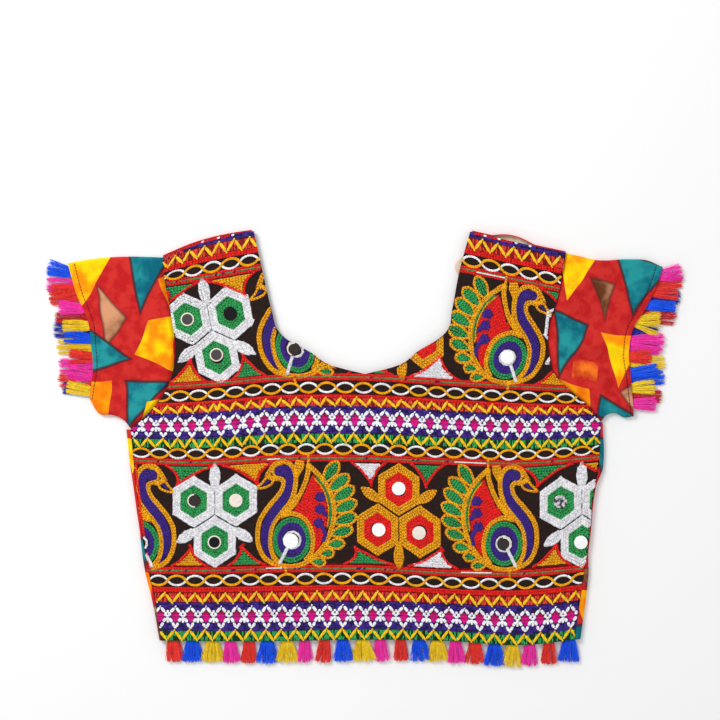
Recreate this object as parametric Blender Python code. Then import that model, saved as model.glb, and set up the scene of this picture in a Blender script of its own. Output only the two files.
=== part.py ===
"""A short embroidered choli blouse, laid flat on a table with its front up.

Lengths are in millimetres and the meshes are written in metres.  +X is the
wearer's left, shown on the right, +Y is up the garment towards the neck and
+Z is away from the table.  The table is at z = 0.

A place on the blouse is given as x and height.  Height is measured up the
cloth from the hem, along the embroidered bands, which lie a little uneven.
"""

import math
from collections import namedtuple

import bmesh
import bpy
import numpy as np

MM = 0.001

# Thicknesses and layers
FRONT_WALL = 2.0
BACK_WALL = 1.3
SLEEVE_WALL = 1.2
SEAM_GAP = 0.45
FRONT_TOP = 5.2
HEM_EXTRA = 0.8
HEM_EXTRA_REACH = 16.0
SLEEVE_TOP = 5.3
FOLD_RADIUS = 3.0

# The front and back panels
FRONT_HEIGHT = 384.0
NECK_POINT_HEIGHT = 251.7
UNDERARM_HEIGHT_LEFT = 205.0
UNDERARM_HEIGHT_RIGHT = 212.0
FRONT_COLUMNS = 14
BACK_COLUMNS = 6
BACK_NECK_DROP = 2.0
SIDE_FLAT = 3.2
SHOULDER_FLAT = 2.0
LINING_PEEK = 4.5
LINING_PEEK_FROM = 108.0
LINING_PEEK_TO = 154.0

# Tassel trim
TAPE_WIDTH = 6.0
TAPE_THICK = 0.8
TAPE_INSET = 0.5
TAPE_END = 1.2
LOWER_TAPE_Z = 1.7
UPPER_TAPE_Z = 2.8
LOCKS = 3
LOCK_ROOT = 2.1
LOCK_TIP = 2.4
LOCK_THICK = 1.2
LOWER_TIP_Z = 0.4
UPPER_TIP_Z = 2.2
HEM_TASSELS = 22
HEM_TASSEL_START = -183.0
HEM_TASSEL_PITCH = 17.9
HEM_TASSEL_LENGTH = 23.0
HEM_TASSEL_FAN = 4.6
CUFF_TASSEL_FAN = 3.7

# Mirrors
MIRROR_RADIUS = 6.0
MIRROR_THICK = 1.0
MIRROR_LIFT = 0.35
MIRROR_SIDES = 12

# Where each embroidered line lies: its height up the cloth, and its y at
# seven x stations across the blouse.
STATIONS = (-224.0, -158.0, -82.0, 0.0, 80.0, 146.0, 222.0)
BandLine = namedtuple("BandLine", "height y_at_stations")
BAND_LINES = (
    BandLine(0.0, (-180.5, -181.4, -181.4, -180.0, -181.4, -185.2, -176.7)),
    BandLine(67.0, (-114.0, -114.5, -113.0, -112.6, -116.8, -117.3, -110.7)),
    BandLine(172.5, (-9.5, -11.4, -7.6, -7.6, -10.4, -12.3, -6.2)),
    BandLine(250.0, (57.9, 61.8, 69.3, 70.3, 64.6, 59.8, 56.0)),
    BandLine(349.0, (152.0, 162.9, 175.8, 182.4, 173.4, 160.5, 144.4)),
    BandLine(384.0, (169.1, 197.6, 210.9, 216.6, 210.9, 196.6, 180.5)),
)

# Edges of the front panel
EdgePoint = namedtuple("EdgePoint", "height x")
LEFT_SIDE = (
    EdgePoint(0.0, -194.0),
    EdgePoint(67.0, -205.0),
    EdgePoint(150.0, -216.5),
    EdgePoint(205.0, -223.2),
)
LEFT_ARMHOLE = (
    EdgePoint(205.0, -223.2),
    EdgePoint(221.0, -208.0),
    EdgePoint(240.0, -192.8),
    EdgePoint(258.0, -185.0),
    EdgePoint(280.0, -181.4),
    EdgePoint(314.0, -184.3),
    EdgePoint(351.0, -190.9),
    EdgePoint(384.0, -193.0),
)
RIGHT_SIDE = (
    EdgePoint(0.0, 197.6),
    EdgePoint(65.0, 207.1),
    EdgePoint(131.0, 212.8),
    EdgePoint(160.0, 219.4),
    EdgePoint(212.0, 222.8),
)
RIGHT_ARMHOLE = (
    EdgePoint(212.0, 222.8),
    EdgePoint(230.0, 212.0),
    EdgePoint(246.0, 195.7),
    EdgePoint(261.0, 180.5),
    EdgePoint(283.0, 173.8),
    EdgePoint(312.0, 173.8),
    EdgePoint(335.0, 180.5),
    EdgePoint(384.0, 190.0),
)
LEFT_NECK = (
    EdgePoint(251.7, -1.0),
    EdgePoint(256.4, -24.7),
    EdgePoint(270.6, -53.2),
    EdgePoint(284.0, -77.0),
    EdgePoint(292.0, -85.5),
    EdgePoint(308.0, -91.2),
    EdgePoint(345.0, -99.8),
    EdgePoint(384.0, -107.5),
)
RIGHT_NECK = (
    EdgePoint(251.7, -1.0),
    EdgePoint(257.7, 22.8),
    EdgePoint(275.0, 51.3),
    EdgePoint(287.0, 70.3),
    EdgePoint(294.0, 77.2),
    EdgePoint(312.0, 81.7),
    EdgePoint(345.0, 88.3),
    EdgePoint(384.0, 99.0),
)

# Heights of the rows of points on both panels
BODY_ROWS = (0.0, 7.0, 22.0, 42.0, 62.0, 82.0, 102.0, 122.0, 142.0, 158.0,
             174.0, 190.0, 205.0, 212.0, 222.0, 232.0, 242.0, 251.7)
STRAP_ROWS = (258.0, 265.0, 272.0, 280.0, 288.0, 296.0, 306.0, 320.0, 336.0,
              352.0, 368.0, 384.0)

# How far the back wraps round beside the front
Wrap = namedtuple("Wrap", "height width")
LEFT_WRAP = (
    Wrap(0.0, 2.4),
    Wrap(25.0, 2.8),
    Wrap(62.0, 4.2),
    Wrap(104.0, 2.4),
    Wrap(146.0, 3.2),
    Wrap(172.0, 4.6),
    Wrap(205.0, 4.8),
)
RIGHT_WRAP = (
    Wrap(0.0, 6.4),
    Wrap(42.0, 6.0),
    Wrap(62.0, 3.2),
    Wrap(82.0, 2.4),
    Wrap(142.0, 2.4),
    Wrap(158.0, 6.0),
    Wrap(178.0, 4.6),
    Wrap(212.0, 2.4),
)

# Soft swells and hollows of the cloth: place, half length, half width, the
# turn of its length from +X in degrees, and how far it lifts the surface.
Swell = namedtuple("Swell", "x y length width turn lift")
FRONT_SWELLS = (
    Swell(-150.0, -60.0, 70.0, 26.0, 80.0, 0.45),
    Swell(-60.0, -95.0, 80.0, 24.0, 95.0, -0.40),
    Swell(40.0, -30.0, 90.0, 28.0, 85.0, 0.40),
    Swell(125.0, -80.0, 80.0, 24.0, 100.0, -0.35),
    Swell(175.0, -20.0, 60.0, 20.0, 75.0, 0.40),
    Swell(-110.0, 90.0, 50.0, 22.0, 60.0, 0.35),
    Swell(110.0, 100.0, 55.0, 20.0, 115.0, 0.40),
    Swell(0.0, 30.0, 70.0, 18.0, 0.0, -0.30),
)
LEFT_SLEEVE_SWELLS = (
    Swell(-225.0, 150.0, 34.0, 16.0, 40.0, 0.8),
    Swell(-240.0, 95.0, 34.0, 15.0, -15.0, 0.7),
    Swell(-215.0, 70.0, 30.0, 9.0, 30.0, -0.8),
    Swell(-262.0, 150.0, 24.0, 10.0, 70.0, -0.5),
)
RIGHT_SLEEVE_SWELLS = (
    Swell(200.0, 150.0, 34.0, 9.0, 46.0, 1.0),
    Swell(228.0, 132.0, 36.0, 9.0, 40.0, -0.8),
    Swell(215.0, 88.0, 34.0, 6.0, -4.0, -1.0),
    Swell(215.0, 100.0, 34.0, 8.0, -6.0, 0.8),
    Swell(222.0, 62.0, 34.0, 6.0, -22.0, -0.9),
    Swell(232.0, 74.0, 26.0, 8.0, -20.0, 0.8),
    Swell(225.0, 48.0, 20.0, 6.0, -30.0, 0.8),
)

# Outlines of the sleeves, from the armhole or from the top down
PlanPoint = namedtuple("PlanPoint", "x y")
LEFT_SLEEVE_TOP = (
    PlanPoint(-193.4, 183.0),
    PlanPoint(-214.7, 183.8),
    PlanPoint(-243.2, 183.3),
    PlanPoint(-265.0, 181.0),
    PlanPoint(-283.5, 177.5),
)
LEFT_CUFF = (
    PlanPoint(-283.5, 177.5),
    PlanPoint(-274.6, 147.2),
    PlanPoint(-264.1, 122.5),
    PlanPoint(-261.2, 99.8),
    PlanPoint(-259.3, 79.0),
    PlanPoint(-261.2, 60.8),
    PlanPoint(-262.5, 47.5),
)
LEFT_SLEEVE_UNDER = (
    PlanPoint(-223.7, 19.7),
    PlanPoint(-230.0, 28.0),
    PlanPoint(-240.3, 33.0),
    PlanPoint(-253.0, 34.0),
    PlanPoint(-262.5, 47.5),
)
RIGHT_SLEEVE_TOP = (
    PlanPoint(190.5, 187.0),
    PlanPoint(203.3, 184.3),
    PlanPoint(217.5, 180.8),
    PlanPoint(250.8, 181.4),
    PlanPoint(267.0, 180.4),
    PlanPoint(282.1, 174.0),
)
RIGHT_CUFF = (
    PlanPoint(282.1, 174.0),
    PlanPoint(276.4, 156.8),
    PlanPoint(265.1, 133.9),
    PlanPoint(253.6, 114.9),
    PlanPoint(249.8, 94.0),
    PlanPoint(251.8, 66.5),
    PlanPoint(254.5, 32.0),
)
RIGHT_SLEEVE_UNDER = (
    PlanPoint(223.4, 26.6),
    PlanPoint(229.5, 33.5),
    PlanPoint(237.0, 35.0),
    PlanPoint(245.0, 31.0),
    PlanPoint(254.5, 32.0),
)
SLEEVE_RINGS = 9
FOLD_STEPS = (0.9, 3.2)

# Tassels of each cuff: y of the root, length, and turn from level outwards
CuffTassel = namedtuple("CuffTassel", "y length turn")
LEFT_CUFF_UPPER = (
    CuffTassel(167.5, 22.0, 4.0),
    CuffTassel(150.0, 23.0, 0.0),
    CuffTassel(133.5, 24.0, 6.0),
    CuffTassel(120.0, 23.0, 4.0),
    CuffTassel(106.5, 25.0, 6.0),
    CuffTassel(91.0, 22.0, -2.0),
    CuffTassel(71.5, 24.0, 0.0),
    CuffTassel(57.5, 24.0, 4.0),
)
LEFT_CUFF_LOWER = (
    CuffTassel(164.0, 26.0, 0.0),
    CuffTassel(148.0, 27.0, 2.0),
    CuffTassel(132.0, 29.0, 2.0),
    CuffTassel(116.5, 30.0, 4.0),
    CuffTassel(101.5, 31.0, 2.0),
    CuffTassel(87.0, 29.0, 0.0),
    CuffTassel(72.5, 30.0, 2.0),
    CuffTassel(58.5, 24.0, 4.0),
)
RIGHT_CUFF_UPPER = (
    CuffTassel(166.5, 21.0, -6.0),
    CuffTassel(155.0, 22.0, -2.0),
    CuffTassel(142.5, 28.0, 0.0),
    CuffTassel(126.0, 22.0, 6.0),
    CuffTassel(108.0, 28.0, 4.0),
    CuffTassel(91.5, 20.0, 2.0),
    CuffTassel(76.0, 26.0, 0.0),
    CuffTassel(61.5, 21.0, 0.0),
    CuffTassel(46.5, 23.0, 0.0),
)
RIGHT_CUFF_LOWER = (
    CuffTassel(164.0, 24.0, -2.0),
    CuffTassel(148.5, 26.0, 2.0),
    CuffTassel(132.5, 30.0, 4.0),
    CuffTassel(116.5, 24.0, 4.0),
    CuffTassel(101.0, 25.0, 0.0),
    CuffTassel(86.0, 27.0, 0.0),
    CuffTassel(71.0, 24.0, 2.0),
    CuffTassel(56.5, 22.0, 0.0),
)

# Mirrors: x and height of each one on the front
MirrorPlace = namedtuple("MirrorPlace", "x height")
MIRRORS = (
    MirrorPlace(-169.6, 312.0),
    MirrorPlace(-128.7, 311.5),
    MirrorPlace(-142.0, 275.5),
    MirrorPlace(-69.8, 275.0),
    MirrorPlace(134.2, 275.5),
    MirrorPlace(-163.2, 135.0),
    MirrorPlace(-123.6, 134.0),
    MirrorPlace(-143.9, 94.5),
    MirrorPlace(-71.5, 93.5),
    MirrorPlace(31.0, 144.5),
    MirrorPlace(12.0, 104.5),
    MirrorPlace(50.3, 103.5),
    MirrorPlace(130.2, 96.0),
    MirrorPlace(184.3, 133.0),
    MirrorPlace(204.0, 92.0),
)

COLOURS = {
    "front": (0.030, 0.018, 0.014),
    "print": (0.58, 0.03, 0.03),
    "fringe": (0.62, 0.04, 0.07),
    "mirror": (0.75, 0.77, 0.78),
}


def smooth_curve(places, values):
    """Return a smooth function through the given values."""
    places = np.asarray(places, float)
    values = np.asarray(values, float)
    steps = np.diff(places)
    slopes = np.diff(values) / steps
    tangents = np.empty(len(places))
    tangents[0] = slopes[0]
    tangents[-1] = slopes[-1]
    tangents[1:-1] = (slopes[:-1] * steps[1:] + slopes[1:] * steps[:-1])
    tangents[1:-1] /= steps[1:] + steps[:-1]

    def value_at(place):
        index = int(np.clip(np.searchsorted(places, place) - 1, 0, len(steps) - 1))
        step = steps[index]
        t = min(max((place - places[index]) / step, 0.0), 1.0)
        rise = values[index] * (2 * t**3 - 3 * t**2 + 1)
        rise += values[index + 1] * (3 * t**2 - 2 * t**3)
        rise += tangents[index] * step * (t**3 - 2 * t**2 + t)
        rise += tangents[index + 1] * step * (t**3 - t**2)
        return rise + (place - places[index] - t * step) * tangents[index]

    return value_at


def edge_curve(table):
    """Return the x of an edge as a smooth function of height."""
    return smooth_curve([row.height for row in table], [row.x for row in table])


BAND_CURVES = [smooth_curve(STATIONS, line.y_at_stations) for line in BAND_LINES]
BAND_HEIGHTS = [line.height for line in BAND_LINES]
left_side = edge_curve(LEFT_SIDE)
left_armhole = edge_curve(LEFT_ARMHOLE)
right_side = edge_curve(RIGHT_SIDE)
right_armhole = edge_curve(RIGHT_ARMHOLE)
left_neck = edge_curve(LEFT_NECK)
right_neck = edge_curve(RIGHT_NECK)


def plan_y(x, height):
    """Return the y where the cloth of this x and height lies."""
    lines = [curve(x) for curve in BAND_CURVES]
    return float(np.interp(height, BAND_HEIGHTS, lines))


def left_edge(height):
    """Return the x of the front's left edge, side seam or armhole."""
    return left_side(height) if height <= UNDERARM_HEIGHT_LEFT else left_armhole(height)


def right_edge(height):
    """Return the x of the front's right edge, side seam or armhole."""
    return right_side(height) if height <= UNDERARM_HEIGHT_RIGHT else right_armhole(height)


def swell_lift(x, y, swells):
    """Return the height that the soft swells add at a place."""
    total = 0.0
    for swell in swells:
        turn = math.radians(swell.turn)
        dx = x - swell.x
        dy = y - swell.y
        along = (dx * math.cos(turn) + dy * math.sin(turn)) / swell.length
        across = (dy * math.cos(turn) - dx * math.sin(turn)) / swell.width
        total += swell.lift * math.exp(-(along**2 + across**2))
    return total


def front_top(x, height):
    """Return the z of the front's upper surface."""
    y = plan_y(x, height)
    hem = HEM_EXTRA * math.exp(-(height / HEM_EXTRA_REACH)**2)
    near_hem = min(height / HEM_EXTRA_REACH, 1.0)
    return FRONT_TOP + hem + near_hem * swell_lift(x, y, FRONT_SWELLS)


def make_material(name, colour, roughness, metallic=0.0):
    """Make a Principled material of one colour."""
    material = bpy.data.materials.new(name)
    material.use_nodes = True
    shader = material.node_tree.nodes["Principled BSDF"]
    shader.inputs["Base Color"].default_value = (*colour, 1.0)
    shader.inputs["Roughness"].default_value = roughness
    shader.inputs["Metallic"].default_value = metallic
    return material


def add_piece(name, points, faces, material):
    """Add one closed piece from points in millimetres."""
    mesh = bpy.data.meshes.new(name)
    mesh.from_pydata([tuple(c * MM for c in point) for point in points], [], faces)
    shape = bmesh.new()
    shape.from_mesh(mesh)
    bmesh.ops.recalc_face_normals(shape, faces=shape.faces)
    shape.to_mesh(mesh)
    shape.free()
    mesh.materials.append(material)
    mesh.shade_smooth()
    mesh.set_sharp_from_angle(angle=math.radians(40))
    piece = bpy.data.objects.new(name, mesh)
    bpy.context.collection.objects.link(piece)
    return piece


def wall_from_cells(outer, inner, cells):
    """Return points and faces of a wall between two layers of points.

    outer and inner map a key to a point.  Each cell is a ring of four keys.
    """
    keys = sorted({key for cell in cells for key in cell}, key=str)
    index = {key: number for number, key in enumerate(keys)}
    count = len(keys)
    points = [outer[key] for key in keys] + [inner[key] for key in keys]
    faces = []
    edges = {}
    for cell in cells:
        ring = [index[key] for key in cell]
        faces.append(ring)
        faces.append([count + number for number in reversed(ring)])
        for start, end in zip(ring, ring[1:] + ring[:1]):
            if (end, start) in edges:
                del edges[(end, start)]
            else:
                edges[(start, end)] = True
    for start, end in edges:
        faces.append([end, start, count + start, count + end])
    return points, faces


def half_columns(start, end, count):
    """Return evenly spaced x values from start to end."""
    return [start + (end - start) * step / count for step in range(count + 1)]


def panel_key(row, column, centre, strap):
    """Name a point of a panel; the centre column parts above the neck point."""
    if strap and column == centre:
        return (row, column, strap)
    return (row, column, "")


def panel_cells(body_rows, all_rows, columns):
    """Return the cells of a panel with two straps."""
    cells = []
    centre = columns
    for row in range(all_rows - 1):
        for column in range(2 * columns):
            strap = "left" if column < centre else "right"
            low = strap if row >= body_rows else ""
            high = strap if row + 1 >= body_rows else ""
            cells.append((
                panel_key(row, column, centre, low),
                panel_key(row, column + 1, centre, low),
                panel_key(row + 1, column + 1, centre, high),
                panel_key(row + 1, column, centre, high),
            ))
    return cells


def build_front(material):
    """Build the embroidered front panel with both straps."""
    rows = BODY_ROWS + STRAP_ROWS
    body_rows = len(BODY_ROWS)
    outer = {}
    for row, height in enumerate(rows):
        strap_row = row >= body_rows
        left_end = left_neck(height) if strap_row else left_neck(NECK_POINT_HEIGHT)
        right_start = right_neck(height) if strap_row else left_end
        left_half = half_columns(left_edge(height), left_end, FRONT_COLUMNS)
        right_half = half_columns(right_start, right_edge(height), FRONT_COLUMNS)
        for column, x in enumerate(left_half):
            key = panel_key(row, column, FRONT_COLUMNS, "left" if strap_row else "")
            outer[key] = (x, plan_y(x, height), front_top(x, height))
        for column, x in enumerate(right_half, FRONT_COLUMNS):
            key = panel_key(row, column, FRONT_COLUMNS, "right" if strap_row else "")
            outer[key] = (x, plan_y(x, height), front_top(x, height))
    inner = {key: (x, y, z - FRONT_WALL) for key, (x, y, z) in outer.items()}
    cells = panel_cells(body_rows, len(rows), FRONT_COLUMNS)
    points, faces = wall_from_cells(outer, inner, cells)
    return add_piece("front", points, faces, material)


def wrap_width(table, height):
    """Return how far the back wraps round at a height."""
    return float(np.interp(height, [row.height for row in table], [row.width for row in table]))


def wrap_section(edge, width, top, side):
    """Return outer and inner places of the back's side as it curls up.

    The list runs from the seam beside the front down to the flat underside.
    """
    seam = edge + side * SEAM_GAP
    outside = edge + side * width
    flat = edge - side * SIDE_FLAT
    wall = BACK_WALL
    middle = 0.5 * top
    thick_middle = outside - side * wall
    outer = (
        (seam, top),
        (seam + 0.62 * (outside - seam), 0.90 * top),
        (outside, middle),
        (outside + 0.22 * (flat - outside), 0.14 * top),
        (flat, 0.0),
    )
    inner = (
        (seam, top - wall),
        (seam + 0.5 * (thick_middle - seam), 0.90 * top - wall),
        (thick_middle, middle),
        (thick_middle + 0.30 * (flat - thick_middle), wall + 0.06 * top),
        (flat, wall),
    )
    return outer, inner


def lining_peek(x):
    """Return how far the back's shoulder stands out past the front's edge."""
    share = (x - LINING_PEEK_FROM) / (LINING_PEEK_TO - LINING_PEEK_FROM)
    if not 0.0 < share < 1.0:
        return 0.0
    return LINING_PEEK * math.sin(math.pi * share)


def add_shoulder(outer, inner, row, column, strap, x, edge_y):
    """Add the points of one column of the back's turned-up shoulder."""
    top = front_top(x, FRONT_HEIGHT)
    edge_y += lining_peek(x)
    for step, (outside, inside) in enumerate(shoulder_section(top), 1):
        key = panel_key(row + step, column, BACK_COLUMNS, strap)
        outer[key] = (x, edge_y + outside[0], outside[1])
        inner[key] = (x, edge_y + inside[0], inside[1])


def shoulder_section(top):
    """Return the back's shoulder as it turns up behind the front's edge.

    Each row holds the y beyond the front's edge and the z, outside and inside.
    """
    outside = SEAM_GAP + BACK_WALL
    middle = 0.5 * top
    return (
        ((outside - 0.4, 0.3), (SEAM_GAP - 0.3, BACK_WALL + 0.2)),
        ((outside, middle), (SEAM_GAP, middle)),
        ((outside - 0.4, top), (SEAM_GAP, top)),
    )


def build_back(material):
    """Build the back panel, flat underneath, with its sides curled up."""
    rows = BODY_ROWS + STRAP_ROWS
    body_rows = len(BODY_ROWS)
    neck_low = NECK_POINT_HEIGHT
    outer = {}
    inner = {}
    shoulder_rows = len(shoulder_section(FRONT_TOP))
    cells = panel_cells(body_rows, len(rows) + shoulder_rows, BACK_COLUMNS)
    for row, height in enumerate(rows):
        strap_row = row >= body_rows
        left_wraps = height <= UNDERARM_HEIGHT_LEFT
        right_wraps = height <= UNDERARM_HEIGHT_RIGHT
        left_x = left_edge(height) + (SIDE_FLAT if left_wraps else 0.0)
        right_x = right_edge(height) - (SIDE_FLAT if right_wraps else 0.0)
        left_end = left_neck(height) - BACK_NECK_DROP if strap_row else left_neck(neck_low)
        right_start = right_neck(height) + BACK_NECK_DROP if strap_row else left_end
        halves = (
            ("left", 0, half_columns(left_x, left_end, BACK_COLUMNS)),
            ("right", BACK_COLUMNS, half_columns(right_start, right_x, BACK_COLUMNS)),
        )
        for strap, first, places in halves:
            for column, x in enumerate(places, first):
                key = panel_key(row, column, BACK_COLUMNS, strap if strap_row else "")
                drop = BACK_NECK_DROP if row == body_rows - 1 and column == BACK_COLUMNS else 0.0
                y = plan_y(x, height - drop)
                if row == len(rows) - 1:
                    add_shoulder(outer, inner, row, column, strap, x, y)
                    y -= SHOULDER_FLAT
                outer[key] = (x, y, 0.0)
                inner[key] = (x, y, BACK_WALL)
        sides = (
            (left_wraps, "L", left_edge, LEFT_WRAP, -1),
            (right_wraps, "R", right_edge, RIGHT_WRAP, 1),
        )
        for wraps, name, edge, wraps_table, side in sides:
            if not wraps:
                continue
            x = edge(height)
            top = front_top(x, height)
            width = wrap_width(wraps_table, height)
            outer_section, inner_section = wrap_section(x, width, top, side)
            for step in range(len(outer_section) - 1):
                key = (row, name, step)
                outer_x, outer_z = outer_section[step]
                inner_x, inner_z = inner_section[step]
                y = plan_y(x, height)
                outer[key] = (outer_x, y, outer_z)
                inner[key] = (inner_x, y, inner_z)
    for name, last_height, flat_column in (
        ("L", UNDERARM_HEIGHT_LEFT, 0),
        ("R", UNDERARM_HEIGHT_RIGHT, 2 * BACK_COLUMNS),
    ):
        last_row = rows.index(last_height)
        for row in range(last_row):
            low = [(row, name, step) for step in range(4)] + [(row, flat_column, "")]
            high = [(row + 1, name, step) for step in range(4)] + [(row + 1, flat_column, "")]
            for step in range(4):
                cell = (low[step], low[step + 1], high[step + 1], high[step])
                cells.append(cell if name == "L" else tuple(reversed(cell)))
    points, faces = wall_from_cells(outer, inner, cells)
    return add_piece("back", points, faces, material)


def along(points, shares):
    """Return the places at the given shares of a line's length."""
    points = np.asarray(points, float)
    steps = np.hypot(*np.diff(points, axis=0).T)
    lengths = np.concatenate(([0.0], np.cumsum(steps)))
    wanted = np.asarray(shares) * lengths[-1]
    return np.column_stack([np.interp(wanted, lengths, points[:, k]) for k in (0, 1)])


def smooth_line(table, count=60):
    """Return a smooth line of points through a short outline."""
    table = np.asarray(table, float)
    steps = np.hypot(*np.diff(table, axis=0).T)
    lengths = np.concatenate(([0.0], np.cumsum(steps)))
    x_at = smooth_curve(lengths, table[:, 0])
    y_at = smooth_curve(lengths, table[:, 1])
    places = np.linspace(0.0, lengths[-1], count)
    return np.array([(x_at(place), y_at(place)) for place in places])


class SleeveShape:
    """The plan and the upper surface of one sleeve."""

    def __init__(self, side, armhole, underarm, top, cuff, under, swells):
        heights = [h for h in BODY_ROWS + STRAP_ROWS if h >= underarm]
        heights.reverse()
        self.side = side
        self.swells = swells
        self.heights = heights
        seam = [(armhole(h) + side * SEAM_GAP, plan_y(armhole(h), h)) for h in heights]
        seam[0] = top[0]
        seam[-1] = under[0]
        self.seam = np.array(seam)
        self.seam_tops = [front_top(armhole(h), h) for h in heights]
        steps = np.hypot(*np.diff(self.seam, axis=0).T)
        self.seam_lengths = np.concatenate(([0.0], np.cumsum(steps)))
        total = self.seam_lengths[-1]
        shares = list(self.seam_lengths / total)
        for step in FOLD_STEPS:
            shares += [step / total, 1.0 - step / total]
        self.shares = np.array(sorted(shares))
        self.cuff = smooth_line(cuff)
        self.top = smooth_line(top)
        self.under = smooth_line(under)

    def plan(self, u, shares):
        """Return the plan of a ring, u from the armhole to the cuff."""
        seam = along(self.seam, shares)
        cuff = along(self.cuff, shares)
        top = along(self.top, [u])[0]
        under = along(self.under, [u])[0]
        shares = np.asarray(shares)[:, None]
        corners = (1 - u) * ((1 - shares) * seam[0] + shares * seam[-1])
        corners = corners + u * ((1 - shares) * cuff[0] + shares * cuff[-1])
        return (1 - u) * seam + u * cuff + (1 - shares) * top + shares * under - corners

    def tops(self, u, shares, places):
        """Return the z of the upper surface along a ring."""
        at_seam = np.interp(np.asarray(shares) * self.seam_lengths[-1],
                            self.seam_lengths, self.seam_tops)
        level = (1 - u) * at_seam + u * SLEEVE_TOP
        fade = 1.0 - (2.0 * u - 1.0)**4
        lift = np.array([swell_lift(x, y, self.swells) for x, y in places])
        return level + fade * lift


def roundness(distance):
    """Return how far a folded edge has opened, from 0 at the fold to 1."""
    share = min(distance / FOLD_RADIUS, 1.0)
    return math.sqrt(1.0 - (1.0 - share)**2)


def sleeve_ring(shape, u):
    """Return the outer and inner loops of one ring of a sleeve."""
    places = shape.plan(u, shape.shares)
    tops = shape.tops(u, shape.shares, places)
    steps = np.hypot(*np.diff(places, axis=0).T)
    lengths = np.concatenate(([0.0], np.cumsum(steps)))
    total = lengths[-1]
    inset = SLEEVE_WALL + lengths * (total - 2.0 * SLEEVE_WALL) / total
    inner_places = np.column_stack([np.interp(inset, lengths, places[:, k]) for k in (0, 1)])
    outer_upper, outer_lower, inner_upper, inner_lower = [], [], [], []
    for number, length in enumerate(lengths):
        opened = roundness(min(length, total - length))
        top = tops[number]
        middle = 0.5 * top
        x, y = places[number]
        inner_x, inner_y = inner_places[number]
        outer_upper.append((x, y, middle + (top - middle) * opened))
        outer_lower.append((x, y, middle * (1.0 - opened)))
        inner_upper.append((inner_x, inner_y, middle + (top - SLEEVE_WALL - middle) * opened))
        inner_lower.append((inner_x, inner_y, middle - (middle - SLEEVE_WALL) * opened))
    outer = outer_upper + outer_lower[-2:0:-1]
    inner = inner_upper + inner_lower[-2:0:-1]
    return outer, inner


def build_sleeve(name, shape, material):
    """Build a sleeve as a flattened tube that is open at both ends."""
    rings = [sleeve_ring(shape, ring / (SLEEVE_RINGS - 1)) for ring in range(SLEEVE_RINGS)]
    loop = len(rings[0][0])
    points = []
    for outer, inner in rings:
        points += outer + inner
    faces = []
    for ring in range(SLEEVE_RINGS - 1):
        here = ring * 2 * loop
        there = here + 2 * loop
        for step in range(loop):
            after = (step + 1) % loop
            faces.append([here + step, here + after, there + after, there + step])
            faces.append([here + loop + after, here + loop + step,
                          there + loop + step, there + loop + after])
    last = (SLEEVE_RINGS - 1) * 2 * loop
    for step in range(loop):
        after = (step + 1) % loop
        faces.append([after, step, loop + step, loop + after])
        faces.append([last + step, last + after, last + loop + after, last + loop + step])
    return add_piece(name, points, faces, material)


def hem_line(place):
    """Return a point of the hem edge and the direction into the cloth."""
    return np.array([place, plan_y(place, 0.0)]), np.array([0.0, 1.0])


def cuff_line(shape):
    """Return a function that gives the cuff's edge at a y, and the way in."""
    ys = shape.cuff[::-1, 1]
    xs = shape.cuff[::-1, 0]

    def line(place):
        return np.array([np.interp(place, ys, xs), place]), np.array([-shape.side, 0.0])

    return line


def build_fringe(name, line, tassels, fan, tape_z, tip_z, material):
    """Build a tape with tassels, each of three locks fused at their roots.

    tassels holds the place, the length and the turn in radians of each one,
    sorted along the line.
    """
    half = 0.5 * LOCKS * LOCK_ROOT
    stations = [tassels[0][0] - half - TAPE_END]
    for place, length, turn in tassels:
        stations += [place - half + step * LOCK_ROOT for step in range(LOCKS + 1)]
    stations.append(tassels[-1][0] + half + TAPE_END)
    points = []
    for station in stations:
        edge, inward = line(station)
        near = edge + inward * TAPE_INSET
        far = edge + inward * (TAPE_INSET + TAPE_WIDTH)
        points += [(*near, tape_z), (*near, tape_z + TAPE_THICK),
                   (*far, tape_z + TAPE_THICK), (*far, tape_z)]
    faces = [[0, 1, 2, 3]]
    for number in range(len(stations) - 1):
        here = 4 * number
        there = here + 4
        for side in (1, 2, 3):
            after = (side + 1) % 4
            faces.append([here + side, here + after, there + after, there + side])
        tassel, lock = divmod(number - 1, LOCKS + 1)
        is_gap = number == 0 or tassel >= len(tassels) or lock == LOCKS
        if is_gap:
            faces.append([here, here + 1, there + 1, there])
            continue
        place, length, turn = tassels[tassel]
        edge, inward = line(place)
        way = -inward
        way = np.array([way[0] * math.cos(turn) - way[1] * math.sin(turn),
                        way[0] * math.sin(turn) + way[1] * math.cos(turn)])
        across = np.array(line(place + 1.0)[0] - edge)
        across = across - way * np.dot(across, way)
        across = across / np.linalg.norm(across)
        spread = (lock - 0.5 * (LOCKS - 1)) * fan
        reach = length * (1.0 - 0.04 * abs(lock - 1))
        tip = edge + way * reach + across * spread
        left = tip - across * 0.5 * LOCK_TIP
        right = tip + across * 0.5 * LOCK_TIP
        first = len(points)
        points += [(*left, tip_z), (*left, tip_z + LOCK_THICK),
                   (*right, tip_z + LOCK_THICK), (*right, tip_z)]
        root = [here, here + 1, there + 1, there]
        end = [first, first + 1, first + 2, first + 3]
        for side in range(4):
            after = (side + 1) % 4
            faces.append([root[side], root[after], end[after], end[side]])
        faces.append(end)
    last = 4 * (len(stations) - 1)
    faces.append([last, last + 3, last + 2, last + 1])
    return add_piece(name, points, faces, material)


def hem_tassels():
    """Return the place, length and turn of each hem tassel."""
    places = [HEM_TASSEL_START + HEM_TASSEL_PITCH * number for number in range(HEM_TASSELS)]
    return [(place, HEM_TASSEL_LENGTH, 0.0) for place in places]


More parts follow.
